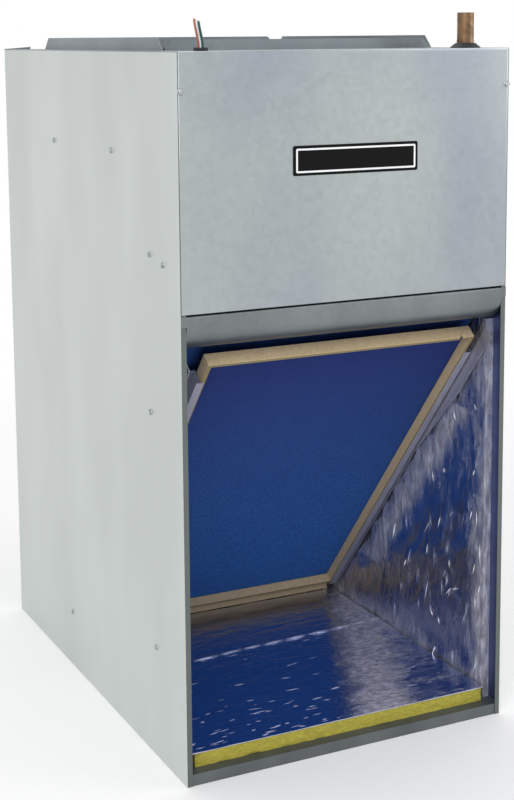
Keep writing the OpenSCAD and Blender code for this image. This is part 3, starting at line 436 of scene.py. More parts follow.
# Spun polyester of the filter: deep blue fibres, a little lighter lower down where the light reaches
SPUN_FIBRE = MatFibre("spun_blue_filter_fibre", "1F3272", 0.9, fleck="1B2C68", fibre_mm=2.2, relief_mm=0.6,
                      low="3070BE")
# Copper tube: drawn, browned by handling and brazing
COPPER = DrawnMetal("drawn_copper_tube", "8E7357", 0.26, tarnish="6E5644", patch_mm=14.0)
# Brass: turned fittings and bearing bushes
BRASS = DrawnMetal("turned_brass", "B79A55", 0.32, tarnish="94793F", patch_mm=12.0, stretch=(0.1, 1.0, 1.0))
# Zinc plated screws: bright and slightly bluish
ZINC_PLATE = DrawnMetal("zinc_plated_steel", "BCC0C2", 0.3, tarnish="9A9EA1", patch_mm=4.0, line_mm=0.6)
# Ground steel of the shaft and the rotor
GROUND_STEEL = DrawnMetal("ground_steel", "8C8F93", 0.3, tarnish="75787C", stretch=(0.1, 1.0, 1.0))
# Cast aluminium: dull and grainy
CAST_METAL = DrawnMetal("cast_aluminium", "A9ADB0", 0.5, tarnish="8F9396", patch_mm=8.0, line_mm=1.2,
                        stretch=(1.0, 1.0, 1.0))
# Aluminium fin stock: thin, bright, lightly oiled
FIN_STOCK = DrawnMetal("aluminium_fin_stock", "C4C8CC", 0.35, tarnish="ACB0B4", patch_mm=60.0)
# Silver line of the nameplate: bright anodised aluminium
SILVER_LINE = DrawnMetal("anodised_aluminium_line", "F6F7F8", 0.42, tarnish="E6E8EA", patch_mm=20.0)
# Nameplate: black lacquer with a clear coat
BLACK_LACQUER = Moulding("black_lacquer", "050506", 0.4, mottle="08090B", relief_mm=0.01, glint=0.12)
# Black polypropylene of the drain pan and fittings
BLACK_POLYPROPYLENE = Moulding("black_polypropylene", "1E1F21", 0.45, mottle="26282B")
# Rubber of the grommets and the bushing: near black, matt
RUBBER = Moulding("black_rubber", "17181C", 0.6, mottle="22242A", pebble_mm=0.8)
# Baked black paint of the motor shell
BAKED_PAINT = Moulding("baked_black_paint", "26292C", 0.35, mottle="2F3235", pebble_mm=2.0, coat=0.2)
# Varnished copper windings of the stator
WINDING = Winding("varnished_copper_winding", "8A4B2C", 0.35)
# Glass epoxy board with green solder mask
SOLDER_MASK = Moulding("green_circuit_board", "1C5A38", 0.35, mottle="26704A", pebble_mm=1.6, coat=0.2)
# Phenolic of relays and the transformer's coil
PHENOLIC = Moulding("black_phenolic", "1F2022", 0.5, mottle="2A2B2E")
# Cream polyamide of the terminal block
POLYAMIDE = Moulding("cream_polyamide", "D8D2C0", 0.5, mottle="CBC4AE")
# Vinyl of the leads: smooth and slightly shiny
VINYL_BROWN = Moulding("vinyl_orange_brown", "B4674A", 0.4, mottle="9C563C", relief_mm=0.02)
VINYL_WHITE = Moulding("vinyl_white", "DDE3E3", 0.4, mottle="C9D2D4", relief_mm=0.02)
VINYL_GREEN = Moulding("vinyl_dark_green", "0F4F47", 0.4, mottle="0C3F3E", relief_mm=0.02)
VINYL_GREY = Moulding("vinyl_grey", "4A4C50", 0.4, mottle="3C3E42", relief_mm=0.02)


# Shapes and places

@dataclass(frozen=True)
class Seat:
    """Where a piece belongs: the body that carries it, its slot, and the nodes that it stands for."""

    body: str
    slot: str
    nodes: tuple[str, ...] = ()


def settle(piece: Piece, finish: Finish, seat: Seat) -> Piece:
    """Give a finished piece its material and its body.

    Args:
        piece: The piece, in place in the shared frame.
        finish: What it is made of.
        seat: Where it belongs.

    Returns:
        The same piece.
    """
    if not piece.data.materials:
        piece.data.materials.append(finish.material())
    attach(piece, seat.body)
    if seat.nodes:
        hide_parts(*seat.nodes)
    LOG.info("%s rides on %s as %s", piece.name, seat.body, finish.name)
    return piece


def dress(finish: Finish, *nodes: str) -> None:
    """Give CAD nodes whose shape is right their material.

    Args:
        finish: What they are made of.
        *nodes: Their names.
    """
    for name in nodes:
        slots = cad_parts[name].data.materials
        slots.clear()
        slots.append(finish.material())
        LOG.info("%s is %s", name, finish.name)


def mesh_object(name: str, shape: Shape, angle: float = 35.0) -> Piece:
    """Turn a built shape into an object with outward faces, smooth but for its corners.

    Args:
        name: Name of the piece.
        shape: The shape, which is freed.
        angle: Degrees above which an edge is a corner.

    Returns:
        The new object.
    """
    bmesh.ops.recalc_face_normals(shape, faces=shape.faces)
    for edge in shape.edges:
        edge.smooth = edge.calc_face_angle(0.0) < math.radians(angle)
    for face in shape.faces:
        face.smooth = True
    mesh = bpy.data.meshes.new(name)
    shape.to_mesh(mesh)
    shape.free()
    made = bpy.data.objects.new(name, mesh)
    bpy.context.scene.collection.objects.link(made)
    return made


def merged_copy(node: str, name: str, bevel_mm: float = 0.0) -> Piece:
    """Copy a CAD node's mesh with its loose triangles merged, smooth where it is curved.

    Args:
        node: The CAD node.
        name: Name of the copy.
        bevel_mm: Width of the rounding along its corners, or 0 for none.

    Returns:
        The copy.
    """
    shape = bmesh.new()
    shape.from_mesh(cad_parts[node].data)
    bmesh.ops.remove_doubles(shape, verts=shape.verts, dist=2e-6)
    bmesh.ops.dissolve_limit(shape, angle_limit=math.radians(0.4), verts=shape.verts, edges=shape.edges)
    made = mesh_object(name, shape)
    if bevel_mm:
        rounding = made.modifiers.new("rounded_corners", "BEVEL")
        rounding.width = bevel_mm / 1000
        rounding.segments = 2
        rounding.limit_method = "ANGLE"
        rounding.angle_limit = math.radians(50)
        rounding.harden_normals = True
    return made


def add_block(shape: Shape, low: Sequence[float], high: Sequence[float]) -> None:
    """Add a box between two corners.

    Args:
        shape: Shape that gets the box.
        low: Its lowest corner, in metres.
        high: Its highest corner, in metres.
    """
    middle = [(a + b) / 2 for a, b in zip(low, high)]
    sides = [b - a for a, b in zip(low, high)]
    bmesh.ops.create_cube(shape, size=1.0, matrix=Matrix.Translation(middle) @ Matrix.Diagonal((*sides, 1.0)))


def arc(middle: tuple[float, float], radius: float, start: float, end: float, steps: int) -> Path:
    """Lay points along an arc, both ends included.

    Args:
        middle: The arc's middle.
        radius: Its radius.
        start: Angle of the first point, in degrees.
        end: Angle of the last point.
        steps: Number of parts between them.

    Returns:
        The points.
    """
    angles = [math.radians(start + (end - start) * k / steps) for k in range(steps + 1)]
    return [(middle[0] + radius * math.cos(a), middle[1] + radius * math.sin(a)) for a in angles]


def offset_path(path: Path, thickness: float) -> list[Vector]:
    """Move a bent sheet's path to its left by the sheet's thickness, with mitred corners.

    Args:
        path: Corners of the path, in two directions.
        thickness: Thickness of the sheet, in metres.

    Returns:
        The corners of the sheet's other face.
    """
    points = [Vector(p) for p in path]
    left = [Vector((a.y - b.y, b.x - a.x)).normalized() for a, b in zip(points, points[1:])]
    before = [left[0], *left]
    after = [*left, left[-1]]
    return [p + (u + v) * thickness / (1 + u.dot(v)) for p, u, v in zip(points, before, after)]


def fold_sheet(shape: Shape, path: Path, thickness: float, x0: float, x1: float) -> None:
    """Add a sheet bent along a path in Y and Z and pulled along X.

    Args:
        shape: Shape that gets the sheet.
        path: Corners of its outer face, in metres.
        thickness: Its thickness, to the left of the path.
        x0: Its left end.
        x1: Its right end.
    """
    faces = [[Vector(p) for p in path], offset_path(path, thickness)]
    rows = [[[shape.verts.new((x, p[0], p[1])) for p in line] for x in (x0, x1)] for line in faces]
    for near, far in rows:
        for i in range(len(near) - 1):
            shape.faces.new((near[i], near[i + 1], far[i + 1], far[i]))
    for side in (0, 1):
        outer, inner = rows[0][side], rows[1][side]
        for i in range(len(outer) - 1):
            shape.faces.new((outer[i], inner[i], inner[i + 1], outer[i + 1]))
    for i in (0, -1):
        shape.faces.new((rows[0][0][i], rows[0][1][i], rows[1][1][i], rows[1][0][i]))


def facing_slab(shape: Shape, place: Matrix, size: tuple[float, float, float], step: float,
                lift: Callable[[float, float], float], rub_and_light: Callable[[float, float], float] | None = None,
                both: bool = False) -> None:
    """Add a slab whose top face is a fine grid, and keep at each point how matt and how brightly painted its
    foil is, as a point attribute.

    Args:
        shape: Shape that gets the slab.
        place: Takes the slab's own axes to the shared frame. The grid lies at its third axis' zero.
        size: Length, width and thickness, in metres.
        step: Grid step, in metres.
        lift: Height at a point of the grid, from 0 for flush down to minus the thickness.
        rub_and_light: How matt the face is at a point, and how bright its painted highlight, from 0 to 1.
        both: Whether the lower face follows the same relief.
    """
    long, wide, thick = size
    n, m = max(2, round(long / step)), max(2, round(wide / step))
    worn_and_lit = shape.verts.layers.float.get("rubbed_and_lit") or shape.verts.layers.float.new("rubbed_and_lit")
    depths = [[lift(long * i / n, wide * j / m) for j in range(m + 1)] for i in range(n + 1)]

    def point(i: int, j: int, height: float) -> Corner:
        """Add one point of the slab."""
        u, v = long * i / n, wide * j / m
        made = shape.verts.new(place @ Vector((u, v, height)))
        made[worn_and_lit] = rub_and_light(u, v) if rub_and_light else 0.3
        return made

    top = [[point(i, j, depths[i][j]) for j in range(m + 1)] for i in range(n + 1)]
    for i in range(n):
        for j in range(m):
            shape.faces.new((top[i][j], top[i + 1][j], top[i + 1][j + 1], top[i][j + 1]))
    if both:
        low = [[point(i, j, depths[i][j] - thick) for j in range(m + 1)] for i in range(n + 1)]
        for i in range(n):
            for j in range(m):
                shape.faces.new((low[i][j], low[i][j + 1], low[i + 1][j + 1], low[i + 1][j]))
        rims = ([(i, 0) for i in range(n + 1)], [(i, m) for i in range(n + 1)],
                [(0, j) for j in range(m + 1)], [(n, j) for j in range(m + 1)])
        for rim in rims:
            for (a, b), (c, d) in zip(rim, rim[1:]):
                shape.faces.new((top[a][b], top[c][d], low[c][d], low[a][b]))
        return
    corner = {(i, j): point(i, j, -thick) for i in (0, n) for j in (0, m)}
    shape.faces.new([corner[0, 0], corner[0, m], corner[n, m], corner[n, 0]])
    shape.faces.new([top[i][0] for i in range(n + 1)] + [corner[n, 0], corner[0, 0]])
    shape.faces.new([top[i][m] for i in range(n, -1, -1)] + [corner[0, m], corner[n, m]])
    shape.faces.new([top[0][j] for j in range(m, -1, -1)] + [corner[0, 0], corner[0, m]])
    shape.faces.new([top[n][j] for j in range(m + 1)] + [corner[n, m], corner[n, 0]])


@dataclass(frozen=True)
class Relief:
    """The relief of a crumpled facing: sharp ridges at its full height, with folds pushed in between them."""

    depth: float
    seed: float
    ridge_mm: float
    stretch: float
    lean: float = 0.0
    crosswise: bool = False

    def lift(self, u: float, v: float) -> float:
        """Return the height at a point, from 0 on a ridge down to minus the depth in a fold.

        Args:
            u: Place along the facing, in metres.
            v: Place across it.
        """
        if self.crosswise:
            u, v = v, u
        scale = per(self.ridge_mm)
        spot = Vector(((u + self.lean * v) * scale, v * scale / self.stretch, self.seed))
        bend = noise.noise(spot * 0.4 + Vector((7.0, 3.0, self.seed))) * 1.6
        ridged = noise.ridged_multi_fractal(spot + Vector((bend, bend * 0.4, 0.0)), 0.9, 2.1, 4, 1.0, 2.0)
        return -self.depth * (1 - min(max(ridged / 2.2, 0.0), 1.0))


@dataclass(frozen=True)
class Slope:
    """The tilted plane of the filter and the coil: X across, down the slope, and away from the room."""

    y: float = -0.308
    z: float = 0.528
    degrees: float = 50.003
    normal: tuple[float, float] = (0.766, 0.643)

    def place(self) -> Matrix:
        """Return the matrix from the slope's own axes to the shared frame."""
        turn = Matrix.Rotation(-math.radians(self.degrees), 4, "X")
        return Matrix.Translation((0.0, self.y, self.z)) @ turn

    def point(self, down: float, away: float) -> tuple[float, float]:
        """Return the depth and the height of a point of the slope."""
        spot = self.place() @ Vector((0.0, down, away))
        return spot.y, spot.z

    def behind(self, y: float, z: float) -> float:
        """Return how far a point lies behind the slope, or minus how far it lies in front of it."""
        return (y - self.y) * self.normal[0] + (z - self.z) * self.normal[1]


SLOPE = Slope()


# Camera, light and leads

@dataclass
class PhotoCamera:
    """The camera at the photograph's place."""

    place: tuple[float, float, float] = (-0.9416, -1.9946, 0.9303)
    yaw: float = 26.08
    pitch: float = 8.18
    roll: float = -0.45
    lens: float = 68.6
    sensor: float = 36.0
    shift: float = -0.18

    def build(self) -> None:
        """Make the camera and hand it to the scene."""
        yaw, pitch, roll = (math.radians(a) for a in (self.yaw, self.pitch, self.roll))
        right = Vector((math.cos(yaw), -math.sin(yaw), 0.0))
        ahead = Vector((math.sin(yaw) * math.cos(pitch), math.cos(yaw) * math.cos(pitch), -math.sin(pitch)))
        up = right.cross(ahead)
        across = right * math.cos(roll) + up * math.sin(roll)
        upward = up * math.cos(roll) - right * math.sin(roll)
        data = bpy.data.cameras.new("photo_camera")
        data.lens, data.sensor_width, data.shift_y = self.lens, self.sensor, self.shift
        camera = bpy.data.objects.new("photo_camera", data)
        bpy.context.scene.collection.objects.link(camera)
        turn = Matrix((across, upward, -ahead)).transposed().to_4x4()
        camera.matrix_world = Matrix.Translation(self.place) @ turn
        bpy.context.scene.camera = camera
        LOG.info("photo_camera stands at %s", self.place)


@dataclass
class StudioSet:
    """Plain pale floor, white surroundings and three soft lamps."""

    sky: float = 0.75
    key: float = 54.0
    fill: float = 18.0
    top: float = 16.0
    aim: float = 0.45
    floor_size: float = 12.0
    floor_gap: float = 0.0005
    fade_start: float = 0.6
    fade_end: float = 2.2

    def build(self) -> None:
        """Make the floor, the world and the lamps."""
        scene = bpy.context.scene
        scene.view_settings.view_transform = "Standard"
        world = bpy.data.worlds.new("white_surroundings")
        scene.world = world
        world.use_nodes = True
        tree = world.node_tree
        tree.nodes.clear()
        light = add_node(tree, "ShaderNodeBackground", {"Color": linear("FFFFFF"), "Strength": self.sky})
        white = add_node(tree, "ShaderNodeBackground", {"Color": linear("FFFFFF"), "Strength": 1.0})
        both = add_node(tree, "ShaderNodeMixShader", links={0: self.looking(tree), 1: light, 2: white})
        add_node(tree, "ShaderNodeOutputWorld", links={0: both})
        self.floor()
        self.lamp("key_lamp", (-2.2, -2.6, 2.6), 2.2, self.key)
        self.lamp("fill_lamp", (2.6, -1.8, 1.6), 2.0, self.fill)
        self.lamp("top_lamp", (0.2, 0.9, 3.4), 2.0, self.top)

    def looking(self, tree: Tree) -> Node:
        """Tell rays that look or mirror from rays that light.

        Args:
            tree: The nodes that ask.

        Returns:
            A node that gives 1 for the first and 0 for the others.
        """
        ray = add_node(tree, "ShaderNodeLightPath").outputs
        return add_node(tree, "ShaderNodeMath", links={0: ray["Is Camera Ray"], 1: ray["Is Glossy Ray"]},
                        operation="MAXIMUM")

    def floor(self) -> None:
        """Lay the pale floor, a hair under the object."""
        shape = bmesh.new()
        bmesh.ops.create_grid(shape, x_segments=1, y_segments=1, size=self.floor_size,
                              matrix=Matrix.Translation((0.0, 0.0, -self.floor_gap)))
        floor = mesh_object("studio_floor", shape)
        material = bpy.data.materials.new("painted_studio_floor")
        material.use_nodes = True
        shader = material.node_tree.nodes["Principled BSDF"]
        shader.inputs["Roughness"].default_value = 0.9
        shader.inputs["Base Color"].default_value = linear("FAFAFA")
        self.fade(material.node_tree, shader)
        floor.data.materials.append(material)

    def fade(self, tree: Tree, shader: Node) -> None:
        """Let the distant floor pass into the white surroundings, for rays that look or mirror.

        Args:
            tree: The floor's nodes.
            shader: Its Principled shader.
        """
        place = add_node(tree, "ShaderNodeTexCoord").outputs["Object"]
        away = add_node(tree, "ShaderNodeVectorMath", links={0: place}, operation="LENGTH").outputs["Value"]
        far = add_node(tree, "ShaderNodeMapRange", {"From Min": self.fade_start, "From Max": self.fade_end},
                       {"Value": away}, interpolation_type="SMOOTHSTEP")
        share = add_node(tree, "ShaderNodeMath", links={0: far, 1: self.looking(tree)}, operation="MULTIPLY")
        white = add_node(tree, "ShaderNodeEmission", {"Color": linear("FFFFFF"), "Strength": 1.0})
        both = add_node(tree, "ShaderNodeMixShader", links={0: share, 1: shader, 2: white})
        feed(tree, tree.nodes["Material Output"], {0: both})

    def lamp(self, name: str, place: tuple[float, float, float], size: float, power: float) -> None:
        """Hang one soft square lamp that faces the object's middle.

        Args:
            name: Name of the lamp.
            place: Where it hangs, in metres.
            size: Length of its sides.
            power: Watts.
        """
        data = bpy.data.lights.new(name, "AREA")
        data.size, data.energy = size, power
        made = bpy.data.objects.new(name, data)
        made.location = place
        ahead = Vector((0.0, 0.0, self.aim)) - Vector(place)
        made.rotation_euler = ahead.to_track_quat("-Z", "Y").to_euler()
        bpy.context.scene.collection.objects.link(made)


# Millimetres along the bushing, aside and up, from one end of a lead's loop to the other
LEAD_LOOP = (
    (4.5, 0, 0), (4.5, 0, 4), (4.6, -0.5, 9), (4.6, -1.4, 15), (4.6, -2.5, 21), (4.5, -3.6, 27),
    (4.3, -4.2, 31), (3.2, -4.6, 34.2), (0, -4.9, 35.6), (-3.2, -4.8, 34.2), (-4.3, -4.4, 31),
    (-4.5, -3.8, 27), (-4.6, -2.7, 21), (-4.6, -1.6, 15), (-4.6, -0.6, 9), (-4.5, 0, 4), (-4.5, 0, 0))


@dataclass
class WireLeads:
    """Three insulated leads folded into loops above the wire bushing."""

    bushing: tuple[float, float, float] = (-0.178, -0.283, 0.918)
    radius: float = 0.0013
    gap: float = 0.0027
    turn: float = 26.0

    def route(self, place: int, reach: float) -> list[Vector]:
        """Return a lead's smooth centreline: up, over and back down into the bushing.

        Args:
            place: 0, 1 or 2 across the bushing.
            reach: How high this lead stands, as a share of the loop's full height.
        """
        turn = math.radians(self.turn)
        points = []
        for along, lean, height in LEAD_LOOP:
            aside = lean / 1000 + self.gap * (place - 1)
            points.append(Vector(self.bushing) + Vector((
                along / 1000 * math.sin(turn) + aside * math.cos(turn),
                along / 1000 * math.cos(turn) - aside * math.sin(turn), height / 1000 * reach)))
        padded = [points[0], *points, points[-1]]
        smooth = []
        for a, b, c, d in zip(padded, padded[1:], padded[2:], padded[3:]):
            for t in (0.0, 0.25, 0.5, 0.75):
                smooth.append(0.5 * (2 * b + (c - a) * t + (2 * a - 5 * b + 4 * c - d) * t ** 2
                                     + (3 * b - 3 * c + d - a) * t ** 3))
        return [*smooth, points[-1]]

    def build(self) -> None:
        """Make the three leads."""
        leads = (("brown", 0.96, VINYL_BROWN), ("white", 0.92, VINYL_WHITE), ("green", 0.88, VINYL_GREEN))
        for place, (colour, reach, finish) in enumerate(leads):
            points = self.route(place, reach)
            curve = bpy.data.curves.new(f"{colour}_lead_loop", "CURVE")
            curve.dimensions = "3D"
            curve.bevel_depth, curve.bevel_resolution, curve.use_fill_caps = self.radius, 3, True
            line = curve.splines.new("POLY")
            line.points.add(len(points) - 1)
            for spot, point in zip(line.points, points):
                spot.co = (*point, 1.0)
            piece = bpy.data.objects.new(curve.name, curve)
            bpy.context.scene.collection.objects.link(piece)
            settle(piece, finish, Seat("cabinet", f"wire_{colour}", (f"lead_{colour}",)))


# Sheet metal

@dataclass
class CabinetSheets:
    """Side, back, top and bottom sheets, and the blower's deck and wall."""

    def build(self) -> None:
        """Dress the sheets that the source already shapes."""
        dress(SIDE_ZINC, "left_side_panel", "right_side_panel")
        dress(TOP_ZINC, "top_panel")
        dress(INNER_ZINC, "back_panel", "blower_deck", "plenum_front",
              "coil_end_plate_left", "coil_end_plate_right")
        dress(BAFFLE_ZINC, "coil_top_baffle")
        dress(PAN_ZINC, "bottom_pan")
        # The filter stop takes the tan board finish as a painted reflection of the filter frame's tan bottom
        # member in the foil
        dress(PAPERBOARD, "filter_stop")
        for side in ("left", "right"):
            rail = merged_copy(f"filter_rail_{side}", f"{side}_rail_folded", bevel_mm=0.3)
            settle(rail, RAIL_ZINC, Seat("cabinet", "galvanised", (f"filter_rail_{side}",)))


@dataclass
class AccessPanel:
    """The removable front panel, with rolled edges and stiffening returns."""

    half: float = 0.2339
    low: float = 0.6005
    high: float = 0.914
    front: float = -0.343
    sheet: float = 0.001
    roll: float = 0.003
    roll_deep: float = 0.0009
    roll_steps: int = 5
    flat: float = 0.0006
    returns: tuple[float, float, float] = (0.2275, 0.014, 0.9007)

    def build(self) -> None:
        """Make the face sheet with its rolled edges, then the four returns behind it."""
        shape = bmesh.new()
        rings = [(0.0, self.front + self.sheet)]
        for k in range(self.roll_steps + 1):
            turn = k / self.roll_steps * math.pi / 2
            inset, deep = self.roll * (1 - math.cos(turn)), self.roll_deep * (1 - math.sin(turn))
            rings.append((inset, self.front + deep))
        rings.append((self.roll + self.flat, self.front))
        loops = [[shape.verts.new((x, y, z)) for x, z in (
            (-self.half + inset, self.low + inset), (self.half - inset, self.low + inset),
            (self.half - inset, self.high - inset), (-self.half + inset, self.high - inset))]
            for inset, y in rings]
        for a, b in zip(loops, loops[1:]):
            for i in range(4):
                shape.faces.new((a[i], a[(i + 1) % 4], b[(i + 1) % 4], b[i]))
        shape.faces.new(loops[-1])
        shape.faces.new(loops[0][::-1])
        wide, deep, top = self.returns
        y0, y1, t = self.front + self.sheet, self.front + deep, self.sheet
        add_block(shape, (-wide, y0, self.low), (wide, y1, self.low + t))
        add_block(shape, (-wide, y0, top - t), (wide, y1, top))
        for side in (-1, 1):
            x0, x1 = sorted((side * wide, side * (wide - t)))
            add_block(shape, (x0, y0, self.low + t), (x1, y1, top - t))
        panel = mesh_object("front_panel_sheet", shape, angle=50.0)
        settle(panel, FRONT_ZINC, Seat("front_panel", "galvanised_front", ("front_access_panel",)))


@dataclass
class HeaderRail:
    """The flat strip under the front panel, rolled back over the filter."""

    half: float = 0.2277
    front: float = -0.343
    top: float = 0.5986
    face: float = 0.013
    radius: float = 0.031
    back: float = -0.292
    flange: float = 0.018
    hem: float = 0.0026
    sheet: float = 0.001
    tab_end: float = 0.235

    def build(self) -> None:
        """Roll the sheet and add the end tabs that lie beside the side flanges."""
        roll_z = self.top - self.face
        path = [(self.front + self.flange, self.top),
                *arc((self.front + self.hem, self.top - self.hem), self.hem, 90, 180, 6),
                *arc((self.front + self.radius, roll_z), self.radius, 180, 270, 30),
                (self.back, roll_z - self.radius)]
        shape = bmesh.new()
        fold_sheet(shape, path, self.sheet, -self.half, self.half)
        for side in (-1, 1):
            x0, x1 = sorted((side * self.half, side * self.tab_end))
            add_block(shape, (x0, self.front, roll_z), (x1, self.front + self.sheet, self.top))
        rail = mesh_object("header_roll", shape, angle=40.0)
        settle(rail, SHADED_ZINC, Seat("cabinet", "shaded_steel", ("header_rail",)))


@dataclass
class Nameplate:
    """A bare black plate with a raised silver line along its border."""

    low: tuple[float, float] = (-0.083, 0.761)
    high: tuple[float, float] = (0.095, 0.798)
    face: float = -0.3442
    back: float = -0.343
    corner: float = 0.0025

    def ring(self, shape: Shape, inset: float, y: float, radius: float) -> list[Corner]:
        """Add one rounded rectangle of points.

        Args:
            shape: Shape that gets the points.
            inset: Distance inside the plate's edge.
            y: Depth of the points.
            radius: Corner radius.

        Returns:
            The points in order.
        """
        x0, z0 = (v + inset + radius for v in self.low)
        x1, z1 = (v - inset - radius for v in self.high)
        made = []
        for quarter, middle in enumerate(((x1, z1), (x0, z1), (x0, z0), (x1, z0))):
            for x, z in arc(middle, radius, 90 * quarter, 90 * quarter + 90, 4):
                made.append(shape.verts.new((x, y, z)))
        return made

    def bridge(self, shape: Shape, rings: list[list[Corner]]) -> None:
        """Join each ring of points to the next."""
        for a, b in zip(rings, rings[1:]):
            for i in range(len(a)):
                shape.faces.new((a[i], a[(i + 1) % len(a)], b[(i + 1) % len(a)], b[i]))

    def build(self) -> None:
        """Make the plate with its softened edge, then the line."""
        plate, line = bmesh.new(), bmesh.new()
        rings = [self.ring(plate, 0.0, self.back, self.corner)]
        # Inset, depth behind the face and corner radius of each ring, from the plate's side to its face
        for inset, deep, radius in ((0.0, 0.0004, self.corner), (0.00012, 0.00012, 0.0024),
                                    (0.0004, 0.0, 0.0021), (0.0008, 0.0, 0.0017)):
            rings.append(self.ring(plate, inset, self.face + deep, radius))
        self.bridge(plate, rings)
        plate.faces.new(rings[-1])
        plate.faces.new(rings[0][::-1])
        settle(mesh_object("nameplate_lacquered", plate, 50.0), BLACK_LACQUER,
               Seat("front_panel", "nameplate_black", ("nameplate",)))
        # The same for the line, over its crown from its outer foot to its inner foot
        rings = [self.ring(line, inset, self.face + deep, radius) for inset, deep, radius in (
            (0.0034, 0.0001, 0.002), (0.0036, -0.00025, 0.0018),
            (0.0058, -0.00025, 0.0006), (0.006, 0.0001, 0.0004))]
        self.bridge(line, [*rings, rings[0]])
        settle(mesh_object("nameplate_silver_line", line, 50.0), SILVER_LINE,
               Seat("front_panel", "nameplate_black"))


# Inside of the filter bay

